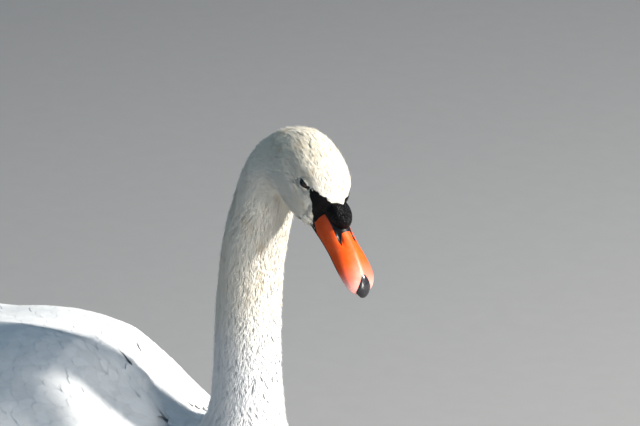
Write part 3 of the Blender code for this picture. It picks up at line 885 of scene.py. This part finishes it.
# ---------------------------------------------------------------- bill, face, knob and nail
# Sections across the bill in the head's frame: place, top, cutting edge, bottom, half-width, squareness.
BILL = np.array([
    (-0.0960, 0.0250, -0.0030, -0.0110, 0.0150, 1.8), (-0.0800, 0.0270, -0.0010, -0.0110, 0.0160, 1.8),
    (-0.0640, 0.0240, 0.0012, -0.0090, 0.0158, 1.9), (-0.0480, 0.0215, 0.0028, -0.0060, 0.0160, 2.0),
    (-0.0340, 0.0200, 0.0038, -0.0032, 0.0172, 2.1), (-0.0200, 0.0172, 0.0048, -0.0004, 0.0178, 2.2),
    (-0.0105, 0.0145, 0.0042, 0.0010, 0.0163, 2.2), (-0.0040, 0.0095, 0.0020, 0.0008, 0.0122, 2.1),
    (-0.0005, 0.0040, -0.0010, -0.0014, 0.0052, 2.0)])
NOSTRIL = (-0.0545, 0.0078)          # along the bill, and to each side of its middle
KNOB_SEAT = (-0.0775, 0, 0.0260)
KNOB_RADII = (0.0172, 0.0114, 0.0126)
KNOB_BED = (-0.0900, 0, 0.0245)      # fills the hollow between the knob and the lores
KNOB_BED_RADII = (0.0150, 0.0128, 0.0113)
FACE_VOXEL = 0.0008
PEBBLES = 900                        # how fine the face's pebbles are, per metre
NAIL_SEAT = (-0.0075, 0, 0.0065)
NAIL_RADII = (0.0138, 0.0080, 0.0064)
NAIL_PITCH = math.radians(36)
BILL_FINE = catmull(BILL, 24)


def bill_at(x):
    """The bill's top, cutting edge, bottom, half-width and squareness at places along the head."""
    return [np.interp(x, BILL_FINE[:, 0], BILL_FINE[:, k]) for k in range(1, 6)]


def halved(quads):
    return np.vstack([quads[:, [0, 1, 2]], quads[:, [0, 2, 3]]])


def capped(points, rows, columns):
    """A closed loft: its quads as triangles, with a fan at each end."""
    first, last = len(points), len(points) + 1
    k = np.arange(columns)
    n = (k + 1) % columns
    head = np.stack([np.full(columns, first), n, k], 1)
    tail = np.stack([np.full(columns, last), (rows - 1) * columns + k, (rows - 1) * columns + n], 1)
    ends = np.stack([points[:columns].mean(0), points[-columns:].mean(0)])
    return np.vstack([points, ends]), np.vstack([halved(grid_quads(rows, columns, closed=True)), head, tail])


def outward(points, faces):
    """The faces, turned round if they point into the body."""
    a, b, c = ((points - points.mean(0))[faces[:, k]] for k in range(3))
    return faces if (np.cross(a, b) * c).sum() > 0 else faces[:, ::-1]


def solid(name, points, faces, finish, slot, fields=None, replaces=()):
    obj = new_object(name, build_mesh(name, points, outward(points, faces), fields=fields), finish)
    if replaces:
        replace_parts(obj, *replaces)


def horn_start(level):
    """Place along the head where the orange horn comes out of the bare skin, at each level."""
    return np.interp(level, [-0.011, -0.002, 0.002, 0.0045, 0.012, 0.020, 0.0245, 0.0290],
                     [-0.0600, -0.0680, -0.0760, -0.0842, -0.0855, -0.0849, -0.0842, -0.0824])


def bill_fields(h):
    """Where the bill is black, and how far along and how high over its edge each point is, in mm.

    Black are its root, the patch under the knob, the slit of the nostril and the line of the gape."""
    x, side, level = h[:, 0], np.abs(h[:, 1]), h[:, 2]
    rise = level - np.interp(x, BILL[:, 0], BILL[:, 2])
    rear = horn_start(level) - x
    knob = np.minimum(-0.0580 - x, np.interp(x, [-0.082, -0.064], [0.0104, 0.0098]) - side)
    outer = np.interp(x, [-0.0620, -0.0515, -0.0460], [0.0097, 0.0097, 0.0090]) - side
    inner = side - np.interp(x, [-0.0620, -0.0584, -0.0508, -0.0460], [0.0030, 0.0048, 0.0070, 0.0090])
    wedge = np.where((x > -0.062) & (x < -0.046) & (level > 0.008), np.minimum(outer, inner), -0.01)
    line = np.minimum(0.0009 - rise, (-0.024 - x) * 0.2)
    black = np.maximum.reduce([rear, np.where(level > 0.012, knob, -0.01), wedge, line])
    return {"black": black * 1000, "run": x * 1000, "rise": rise * 1000}


def make_upper_bill():
    rows, arch, under = 120, 72, 16
    x = np.linspace(-0.0955, -0.0006, rows)
    top, edge, _, half, square = (values[:, None] for values in bill_at(x))
    angle = np.linspace(0, math.pi, arch)
    c, s = np.cos(angle), np.sin(angle)
    y = half * np.sign(c) * np.abs(c) ** (2 / square)
    z = edge + (top - edge) * np.abs(s) ** (2 / square)
    y = y + np.sign(c) * 0.0005 * np.exp(-((z - edge) / 0.0012) ** 2)
    ridge = 0.0007 * np.exp(-(y / 0.004) ** 2) * smooth_step(-0.060, -0.045, x)[:, None]
    z = z + ridge * smooth_step(-0.004, -0.020, x)[:, None]
    hollow = np.exp(-((x[:, None] - NOSTRIL[0]) / 0.0068) ** 2 - ((np.abs(y) - NOSTRIL[1]) / 0.0019) ** 2)
    z = z - 0.0024 * hollow * (s > 0.2)
    y = y - np.sign(y) * 0.0010 * hollow * (s > 0.2)
    w = np.linspace(1, -1, under + 2)[1:-1]
    ring_y = np.hstack([y, -half * w])
    ring_z = np.hstack([z, edge + 0.0012 * (1 - w ** 2)])
    h = np.stack([np.repeat(x[:, None], arch + under, 1), ring_y, ring_z], -1).reshape(-1, 3)
    points, faces = capped(h, rows, arch + under)
    solid("bill_horn_upper", from_head(points), faces, BILL_FINISH, "orange_bill", bill_fields(points),
          ("bill_upper",))


def make_lower_bill():
    rows, columns = 60, 40
    x = np.linspace(-0.0955, -0.0130, rows)
    _, edge, bottom, half, _ = (values[:, None] for values in bill_at(x))
    close = np.sqrt(np.clip((-0.0125 - x) / 0.012, 0.02, 1))[:, None]
    angle = around(columns)
    s = np.sin(angle)
    y = half * 0.86 * close * np.cos(angle)
    z = edge - 0.0004 + np.where(s < 0, (edge - bottom) * s, 0.0003 * s)
    groove = 0.0010 * np.exp(-(y / 0.003) ** 2) * (s < -0.5)
    h = np.stack([np.repeat(x[:, None], columns, 1), y, z + groove], -1).reshape(-1, 3)
    points, faces = capped(h, rows, columns)
    solid("bill_horn_lower", from_head(points), faces, LOWER_FINISH, "black_bill", replaces=("bill_lower",))


def ellipsoid(seat, radii, pitch, rows, columns):
    """A ball in the head's frame, turned nose down by its pitch."""
    v = np.linspace(0.02, math.pi - 0.02, rows)[:, None]
    u = around(columns)[None]
    ball = np.stack([np.cos(v) * np.ones_like(u), np.sin(v) * np.cos(u), np.sin(v) * np.sin(u)], -1)
    x, y, z = (ball.reshape(-1, 3) * np.array(radii)).T
    c, s = math.cos(pitch), math.sin(pitch)
    return capped(np.stack([x * c + z * s, y, -x * s + z * c], 1) + np.array(seat), rows, columns)


def make_nail():
    points, faces = ellipsoid(NAIL_SEAT, NAIL_RADII, NAIL_PITCH, 48, 48)
    ahead = (points[:, 0] - NAIL_SEAT[0]) / NAIL_RADII[0]
    points[:, 1] *= np.interp(ahead, [-1.0, -0.3, 0.4, 1.0], [0.70, 0.92, 1.15, 1.05])
    solid("nail_horn", from_head(points), faces, NAIL_FINISH, "black_bill", replaces=("bill_nail",))


def distance_from(tree, starts, ways, far):
    """How far from each start the surface lies along its way, looking back from this far out, or 0."""
    out = np.zeros(len(starts))
    for i, (start, way, reach) in enumerate(zip(starts, ways, far)):
        hit, _, _, run = tree.ray_cast((start + way * reach).tolist(), (-way).tolist(), reach)
        if hit:
            out[i] = reach - run
    return out


def make_face():
    """The bare black skin from the eye to the knob, which dives under the feathers and the horn."""
    rows, columns = 110, 180
    horn = tree_of(*joined_nodes("bill_upper", "bill_lower"))
    x = np.linspace(-0.1240, -0.0580, rows)
    middle = np.interp(x, [-0.120, -0.080], [0.0100, 0.0080])
    angle = around(columns)
    way = np.stack([0 * angle, np.cos(angle), np.sin(angle)], 1)
    axis = np.stack([x, 0 * x, middle], 1)
    starts = np.repeat(from_head(axis), columns, 0)
    ways = np.tile(way @ HEAD_AXES.T, (rows, 1))
    far = np.tile(np.where(np.sin(angle) < 0, 0.041, 0.055), rows)      # short of the throat below
    flesh, bill = (distance_from(tree, starts, ways, far) for tree in (OUTLINE.tree, horn))
    flesh, bill = flesh.reshape(rows, columns), bill.reshape(rows, columns)
    level = middle[:, None] + np.sin(angle)[None] * np.maximum(flesh, bill)
    start = horn_start(level)
    settle = smooth_step(-0.006, 0.0, x[:, None] - start)
    reach = np.where(bill > 0, np.maximum(flesh, bill) * (1 - settle) + (bill + 0.0003) * settle, flesh)
    reach = relaxed(reach, 6, "wrap")
    h = axis[:, None] + way[None] * reach[..., None]
    bare = bareness(from_head(h.reshape(-1, 3))).reshape(rows, columns)
    lift = np.interp(bare, [-0.0060, -0.0015, -0.0003, 0.0005], [-0.0035, -0.0008, 0.0, 0.0003])
    chin = (level < 0.002) & (x[:, None] > -0.095)
    lift = np.where(chin, 0.0002, lift) - 0.35 * np.clip(x[:, None] - start, 0, 0.02)
    h = axis[:, None] + way[None] * (reach + lift)[..., None]
    pieces = [capped(h.reshape(-1, 3), rows, columns), ellipsoid(KNOB_SEAT, KNOB_RADII, 0, 40, 48),
              ellipsoid(KNOB_BED, KNOB_BED_RADII, 0, 40, 48)]
    points, quads = remeshed("face", *joined([(p, outward(p, f)) for p, f in pieces]), FACE_VOXEL)
    points = neighbours_mean(points, quads, 5)
    pebble = np.array([noise.noise(Vector(q)) for q in (points * PEBBLES).tolist()])
    on_knob = smooth_step(-0.094, -0.080, points[:, 0]) * smooth_step(0.018, 0.026, points[:, 2])
    points += vertex_normals(points, quads) * (pebble * (0.00006 + 0.00022 * on_knob))[:, None]
    points = from_head(points)
    bare = bareness(points)
    mesh = build_mesh("face_skin", points, quads, fields={"black": bare * 1000, "knob": on_knob})
    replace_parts(new_object("face_skin", mesh, FACE_FINISH), "bill_knob")
    make_edge_coat(points, quads, bare)


def make_edge_coat(points, quads, bare):
    """Short plumage on the forehead's point and the chin, which run on over the root of the bill."""
    rng = np.random.default_rng(41)
    sheet = Outline(points, oriented(points, quads, points.mean(0)))
    h = to_head(points)
    feet, way = OUTLINE.settle(points, 0.0)
    sunk = np.clip(-((points - feet) * way).sum(1), 0, 0.0045)
    chin = (h[:, 2] < 0.013) & (h[:, 0] > -0.106)
    horn = (h[:, 0] > -0.0815) & (h[:, 2] > 0.0) | (h[:, 0] > -0.066)
    shown = (bare < 0.0004) & (bare > -0.022) & ((sunk < 0.0011) | chin) & ~horn & (at_eye(points) > 1.2)
    sunk = np.repeat(sunk[shown], 2)
    n = len(sunk)
    roots = np.repeat(points[shown], 2, 0) + rng.normal(0, 0.0003, (n, 3))
    _, normal = sheet.settle(roots, 0.0)
    lay = rng.normal(0, 0.14, (n, 3)) - HEAD_AXES[:, 0] + normal * 0.05
    length = rng.uniform(0.0030, 0.0046, n) + 1.1 * sunk
    top = rng.uniform(0.0003, 0.0008, n) + 0.9 * sunk
    coat("coat_face_edge", roots, root_places(roots), lay, length, 0.0008, 0.0001, blade, DOWN,
         "cream_plumage", top=top, fan=0.4, soften=0.85, surface=sheet)


# ---------------------------------------------------------------- eyes
EYE_BALL = (-0.1150, 0.0221, 0.0294)     # the left eye's middle, in the head's frame
EYE_SIZE = 0.0055
EYE_OUT = (0.05, 0.93, 0.36)             # the way the left eye looks
LID_LINE = np.array([1.0, 0.0, 0.15])    # from the rear corner of the lids to the front one
LID_COLUMNS = 56
LID_THICK = 0.0009
# The lids' rings, in mm: how far out from the opening's edge, and the height over the ball or the head.
LID_OFF = np.array([-0.3, 0.0, 0.3, 0.7, 1.2, 1.9, 2.8, 4.0])
LID_LIFT = np.array([-0.4, 0.45, 0.75, 0.70, 0.45, 0.20, -0.3, -1.5])


def make_eye(side, sign):
    flip = np.array([1, sign, 1])
    middle, out = EYE_BALL * flip, unit(EYE_OUT * flip)
    ahead = unit(LID_LINE - out * (LID_LINE @ out))
    over = np.cross(out, ahead) * sign
    rows, columns = 40, 48
    v = np.linspace(0.015, math.pi * 0.97, rows)[:, None, None]
    u = around(columns)[None, :, None]
    cornea = 1 + 0.045 * np.exp(-(v / 0.55) ** 2)
    ball = (np.cos(v) * out + np.sin(v) * np.cos(u) * ahead + np.sin(v) * np.sin(u) * over) * cornea
    points, faces = capped((middle + ball * EYE_SIZE).reshape(-1, 3), rows, columns)
    fields = {"off": np.append(np.repeat(v.ravel(), columns), [0, math.pi])}
    solid("eyeball_" + side, from_head(points), faces, EYE_FINISH, "dark_eye", fields, ("eye_" + side,))
    make_lids(side, middle, out, ahead, over)


def make_lids(side, middle, out, ahead, over):
    """Lids as rings from the opening's edge outward, first on the ball, then down to the head."""
    turn = around(LID_COLUMNS)
    centre = from_head(middle[None])
    rings = []
    for off, lift in zip(LID_OFF, LID_LIFT / 1000):
        a = (EYE_HOLE[0] + off / 1000) * np.cos(turn)
        b = (EYE_HOLE[1] + off / 1000) * np.sin(turn) * (1 - 0.30 * np.abs(np.cos(turn)) ** 3)
        deep = np.sqrt(np.maximum((EYE_SIZE + lift) ** 2 - a ** 2 - b ** 2, 4e-6))
        on_ball = from_head(middle + out * deep[:, None] + np.outer(a, ahead) + np.outer(b, over))
        on_head, _ = OUTLINE.settle(on_ball, lift * 0.6)
        blend = float(smooth_step(1.3, 3.4, off))
        ring = on_ball * (1 - blend) + on_head * blend - centre
        room = EYE_SIZE + (0.00035 if off > 0 else -0.001)       # so that the ball stays under the lids
        rings.append(centre + ring * np.maximum(1, room / np.linalg.norm(ring, axis=1, keepdims=True)))
    outer = np.stack(rings)
    facing = HEAD_AXES @ out
    order = np.vstack([outer, (outer - facing * LID_THICK)[::-1]])
    k = np.arange(LID_COLUMNS)
    n = (k + 1) % LID_COLUMNS
    last = (len(order) - 1) * LID_COLUMNS
    seam = np.stack([last + k, last + n, n, k], 1)
    faces = halved(np.vstack([grid_quads(len(order), LID_COLUMNS, closed=True), seam]))
    points = order.reshape(-1, 3)
    a, b, c = (points[faces[:LID_COLUMNS * 2, k]] for k in range(3))
    faces = faces if (np.cross(b - a, c - a) @ facing).sum() > 0 else faces[:, ::-1]
    # how far the bare black skin reaches past the opening, in mm: farthest at the front corner
    black = 4.5 * smooth_step(0.72, 0.97, np.cos(turn)) + 0.9 * smooth_step(-0.80, -0.98, np.cos(turn))
    off = LID_OFF[:, None] - black
    mesh = build_mesh("lids_" + side, points, faces, fields={"off": np.vstack([off, off[::-1]])})
    new_object("lids_" + side, mesh, LID_FINISH)
    make_lid_coat(side, outer, off > 0.95, centre)


def make_lid_coat(side, rings, feathered, centre):
    """The shortest plumage of all, on the lids behind their black rim."""
    rng = np.random.default_rng(53)
    points = rings.reshape(-1, 3)
    sheet = Outline(points, oriented(points, grid_quads(*feathered.shape, closed=True), centre))
    between = np.vstack([(rings[:-1] + rings[1:]) / 2, rings[-1:]])
    roots = np.repeat(np.vstack([rings[feathered], between[feathered]]), 3, 0)
    n = len(roots)
    roots = roots + rng.normal(0, 0.0002, (n, 3))
    lay = unit(roots - centre) * 0.5 - HEAD_AXES[:, 0] + rng.normal(0, 0.12, (n, 3))
    length, top = rng.uniform(0.0018, 0.0028, n), rng.uniform(0.0003, 0.0007, n)
    coat("coat_lids_" + side, roots, root_places(roots), lay, length, 0.0006, 0.0, blade, DOWN,
         "cream_plumage", rows=2, top=top, soften=0.9, surface=sheet)


# ---------------------------------------------------------------- legs and feet
HOCK = (-0.168, 0.090, 0.0135)           # the left leg's, in the drawing's frame
ANKLE = (-0.060, 0.100, 0.0095)
HOCK_RADII = (0.020, 0.0118, 0.0128)
ANKLE_RADII = (0.015, 0.0105, 0.0093)
FOOT_TURN = 7                            # degrees the middle toe points outward
TOES = ((-12, 0.118), (0, 0.148), (11, 0.140))       # turned from the middle toe, and length
TOE_JOINTS = (0.0, 0.36, 0.64, 0.84, 1.0)            # shares of a toe's length
CLAW = 0.013
FOOT_VOXEL = 0.0014
SCALES = (260, 330, 260)                 # the netted skin's scales per metre
UP_WAY = np.array([0, 0, 1.0])


def bead(middle, ahead, radii):
    """An ellipsoid with its long side along a heading."""
    ball, shell = ellipsoid((0, 0, 0), radii, 0, 20, 20)
    flat = np.array([ahead[0], ahead[1], 0]) / math.hypot(ahead[0], ahead[1])
    axes = np.stack([flat, np.array([-flat[1], flat[0], 0]), UP_WAY])
    return np.array(middle) + ball @ axes, outward(ball, shell)


def claw(tip, ahead):
    s = np.linspace(0, 1, 12)[:, None]
    u = around(12)[None]
    wide = 0.0027 * np.sqrt(1 - 0.96 * s)
    across = np.array([-ahead[1], ahead[0], 0])
    ring = tip + (s * CLAW)[..., None] * ahead + (0.0044 - 0.0032 * s ** 2)[..., None] * UP_WAY
    ring = ring + (wide * np.cos(u))[..., None] * across + (wide * 0.62 * np.sin(u))[..., None] * UP_WAY
    cone, shell = capped(ring.reshape(-1, 3), 12, 12)
    cone[:, 2] = np.maximum(cone[:, 2], 0.0004)
    return cone, outward(cone, shell)


def make_foot(side, sign):
    """Shank and webbed foot with jointed toes and netted scales; the claws are pieces of their own."""
    flip, flat = np.array([1, sign, 1]), np.array([1, 1, 0])
    ankle, hock = (np.array(place) * flip + SHIFT * flat for place in (ANKLE, HOCK))
    pieces = [joined_nodes("leg_" + side, "foot_" + side), bead(hock, ankle - hock, HOCK_RADII),
              bead(ankle, ankle - hock, ANKLE_RADII)]
    claws = []
    for turn, length in TOES:
        heading = math.radians(FOOT_TURN + turn)
        ahead = np.array([math.cos(heading), sign * math.sin(heading), 0])
        reach = length - 0.010
        for k, (near, far) in enumerate(zip(TOE_JOINTS, TOE_JOINTS[1:])):
            high = 0.0048 - 0.0006 * k
            middle = ankle * flat + ahead * reach * (near + far) / 2 + high * UP_WAY
            pieces.append(bead(middle, ahead, (reach * (far - near) * 0.56, high * 1.08, high - 0.0002)))
        claws.append(claw(ankle * flat + ahead * (length - 0.0125), ahead))
    points, quads = remeshed("foot", *joined(pieces), FOOT_VOXEL)
    points = neighbours_mean(points, quads, 3)
    scale = np.array([noise.voronoi(Vector(q))[0][0] for q in (points * SCALES).tolist()])
    points += vertex_normals(points, quads) * (0.00035 * (0.45 - scale))[:, None]
    points[:, 2] = np.maximum(points[:, 2], 0.0003)
    mesh = build_mesh("foot_skin_" + side, points, quads, fields={"scale": scale})
    obj = new_object("foot_skin_" + side, mesh, FOOT_FINISH)
    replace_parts(obj, "foot_" + side, "leg_" + side)
    solid("claws_" + side, *joined(claws), CLAW_FINISH, "foot_skin")


# ---------------------------------------------------------------- finishes of the bare parts


def bill_finish():
    f = Finish("bill_horn", Specular_IOR_Level=0.32, Coat_Weight=0.08, Coat_Roughness=0.25)
    run, rise = f.field("run"), f.field("rise")
    wobble = f.math("MULTIPLY_ADD", f.noise(f.place(), 420, 3.0), 0.5, -0.25)
    black = f.steps(f.plus(f.field("black"), wobble), -0.15, 0.15)
    # deep red at the horn's root, darkened further there by painted shade of the knob and cheek; orange
    # toward the middle
    colour = f.mix(f.steps(run, -84, -46), (0.55, 0.060, 0.004), (0.84, 0.092, 0.008))
    streak = f.noise(f.stretched((0.5, 1, 0.5)), 260, 3.0)
    colour = f.mix(f.times(f.steps(streak, 0.45, 0.75), 0.25), colour, (0.92, 0.24, 0.05))
    pink = f.steps(run, -31, -8)
    colour = f.mix(f.times(pink, 0.85), colour, (0.86, 0.19, 0.14))
    rim = f.times(f.steps(run, -26, -6), f.steps(rise, 7.0, 1.0))
    colour = f.mix(f.times(rim, 0.9), colour, (0.86, 0.50, 0.46))
    tip = f.steps(run, -14, -3)
    colour = f.mix(f.times(tip, 0.7), colour, (0.86, 0.38, 0.34))
    colour = f.mix(black, colour, (0.004, 0.004, 0.005))
    rough = f.mix(black, (0.42, 0.42, 0.42), (0.44, 0.44, 0.44))
    lines = f.noise(f.stretched((0.4, 1, 1)), 900, 2.0)
    height = f.plus(lines, f.noise(f.place(), 160, 3.0))
    return f.finish(colour, roughness=rough, normal=f.bump(height, 0.16, 0.0006))


def dark_finish(name, colour, rough, scale, depth, **more):
    f = Finish(name, **more)
    grain = f.noise(f.place(), scale, 4.0, 0.65)
    shade = f.mix(grain, tuple(c * 0.55 for c in colour), tuple(c * 1.6 for c in colour))
    rough = f.steps(grain, 0.2, 0.8, rough - 0.08, rough + 0.10)
    return f.finish(shade, roughness=rough, normal=f.bump(grain, 0.55, depth))


def face_finish():
    f = Finish("bare_face", Specular_IOR_Level=0.12)
    cells = f.node("ShaderNodeTexVoronoi", i0=f.place(), i2=1050.0).outputs[0]
    knob = f.field("knob")
    grain = f.noise(f.place(), 700, 4.0, 0.6)
    wobble = f.math("MULTIPLY_ADD", f.noise(f.place(), 900, 2.0), 0.8, -0.4)
    black = f.steps(f.plus(f.field("black"), wobble), -0.30, 0.05)
    colour = f.mix(grain, (0.0012, 0.0012, 0.0016), (0.004, 0.004, 0.005))
    colour = f.mix(black, NECK_CREAM, colour)
    height = f.plus(f.times(grain, 0.5), f.times(cells, f.times(knob, -1.2)))
    rough = f.math("SUBTRACT", f.steps(grain, 0.2, 0.8, 0.44, 0.62), f.times(knob, 0.26))
    return f.finish(colour, roughness=rough, normal=f.bump(height, 0.8, 0.0007))


def foot_finish():
    f = Finish("foot_skin", Specular_IOR_Level=0.30)
    scale = f.steps(f.field("scale"), 0.10, 0.55)
    grain = f.noise(f.place(), 240, 4.0, 0.6)
    colour = f.mix(scale, (0.045, 0.041, 0.040), (0.014, 0.013, 0.013))
    colour = f.mix(f.times(grain, 0.5), colour, (0.060, 0.052, 0.046))
    return f.finish(colour, roughness=f.steps(grain, 0.2, 0.8, 0.42, 0.66), normal=f.bump(grain, 0.5, 0.0005))


def eye_finish():
    f = Finish("wet_eye", Roughness=0.05, Specular_IOR_Level=0.5, Coat_Weight=0.25, Coat_Roughness=0.02)
    off = f.field("off")
    fleck = f.noise(f.place(), 1500, 3.0)
    iris = f.mix(fleck, (0.012, 0.005, 0.003), (0.034, 0.015, 0.007))
    colour = f.mix(f.steps(off, 0.40, 0.46), (0.003, 0.003, 0.003), iris)
    colour = f.mix(f.steps(off, 0.78, 0.88), colour, (0.012, 0.008, 0.007))
    return f.finish(colour)


def lid_finish():
    f = Finish("eyelid", Roughness=0.5, Specular_IOR_Level=0.3)
    grain = f.noise(f.place(), 1300, 3.0)
    colour = f.mix(f.steps(f.field("off"), 0.75, 1.15), (0.012, 0.011, 0.012), NECK_CREAM)
    return f.finish(colour, normal=f.bump(grain, 0.5, 0.0004))


BILL_FINISH = bill_finish()
LOWER_FINISH = dark_finish("lower_bill", (0.020, 0.017, 0.018), 0.42, 500, 0.0004)
NAIL_FINISH = dark_finish("nail_horn", (0.016, 0.016, 0.020), 0.24, 300, 0.0003, Coat_Weight=0.4,
                          Coat_Roughness=0.12)
FACE_FINISH = face_finish()
FOOT_FINISH = foot_finish()
CLAW_FINISH = dark_finish("claw_horn", (0.018, 0.016, 0.015), 0.30, 400, 0.0003)
EYE_FINISH = eye_finish()
LID_FINISH = lid_finish()


# ---------------------------------------------------------------- camera, lights and floor
CAMERA_AZIMUTH = math.radians(35)
CAMERA_RISE = math.radians(18)
CAMERA_DISTANCE = 4.0
TIP_IN_VIEW = (0.0411, 0.0786)      # the bill's tip right of and below the middle of the view, metres
LENS = 231.75


def look_along(position, toward, name, data):
    obj = bpy.data.objects.new(name, data)
    obj.location = position
    obj.rotation_euler = Vector(toward).to_track_quat("-Z", "Y").to_euler()
    bpy.context.scene.collection.objects.link(obj)
    return obj


def make_view():
    a, e = CAMERA_AZIMUTH, CAMERA_RISE
    right = Vector((math.cos(a), math.sin(a), 0))
    back = Vector((math.sin(a) * math.cos(e), -math.cos(a) * math.cos(e), math.sin(e)))
    up = back.cross(right)
    camera = bpy.data.cameras.new("camera")
    camera.lens = LENS
    camera.sensor_width = 36
    camera.clip_end = 30
    place = Vector(TIP) - TIP_IN_VIEW[0] * right + TIP_IN_VIEW[1] * up + CAMERA_DISTANCE * back
    bpy.context.scene.camera = look_along(place, -back, "camera", camera)
    return right, back


def area_light(name, aim, way, distance, size, power, colour):
    data = bpy.data.lights.new(name, "AREA")
    data.shape = "DISK"
    data.size = size
    data.energy = power
    data.color = colour
    way = Vector(way).normalized()
    return look_along(Vector(aim) + way * distance, -way, name, data)


def make_studio():
    right, back = make_view()
    aim = (TIP.x - 0.15, 0, 0.3)
    level = Vector((back.x, back.y, 0)).normalized()
    key = right * 0.766 + level * 0.341 + Vector((0, 0, 0.545))
    front = right * 0.62 + level * 0.78 + Vector((0, 0, 0.05))
    fill = right * -0.9 + level * 0.9 + Vector((0, 0, 0.5))
    area_light("key", aim, key, 6.0, 0.42, 840, (1.0, 0.955, 0.88))
    area_light("front", aim, front, 4.0, 1.2, 84, (1.0, 0.96, 0.90))
    area_light("fill", aim, fill, 3.2, 2.4, 8, (0.60, 0.82, 1.0))
    area_light("top", aim, (-0.2, 0.3, 1.0), 2.6, 2.2, 8, (0.80, 0.91, 1.0))
    world = bpy.data.worlds.new("studio")
    bpy.context.scene.world = world
    world.use_nodes = True
    sky = world.node_tree.nodes["Background"]
    sky.inputs["Color"].default_value = (0.42, 0.70, 1.0, 1)
    sky.inputs["Strength"].default_value = 0.18
    bpy.context.scene.view_settings.view_transform = "Standard"
    mesh = bpy.data.meshes.new("floor")
    mesh.from_pydata([(-12, -12, 0), (12, -12, 0), (12, 12, 0), (-12, 12, 0)], [], [(0, 1, 2, 3)])
    floor = bpy.data.objects.new("floor", mesh)
    f = Finish("floor_paint", Roughness=0.9, Specular_IOR_Level=0.2)
    grain = f.noise(f.place(), 30, 2.0)
    mesh.materials.append(f.finish(f.mix(grain, (0.31, 0.31, 0.315), (0.33, 0.33, 0.335))))
    bpy.context.scene.collection.objects.link(floor)


def main():
    make_studio()
    make_skin()
    make_short_coat()
    make_body_coat()
    make_flight_feathers()
    make_tail()
    make_face()
    make_upper_bill()
    make_lower_bill()
    make_nail()
    for side, sign in (("left", 1), ("right", -1)):
        make_eye(side, sign)
        make_foot(side, sign)


main()
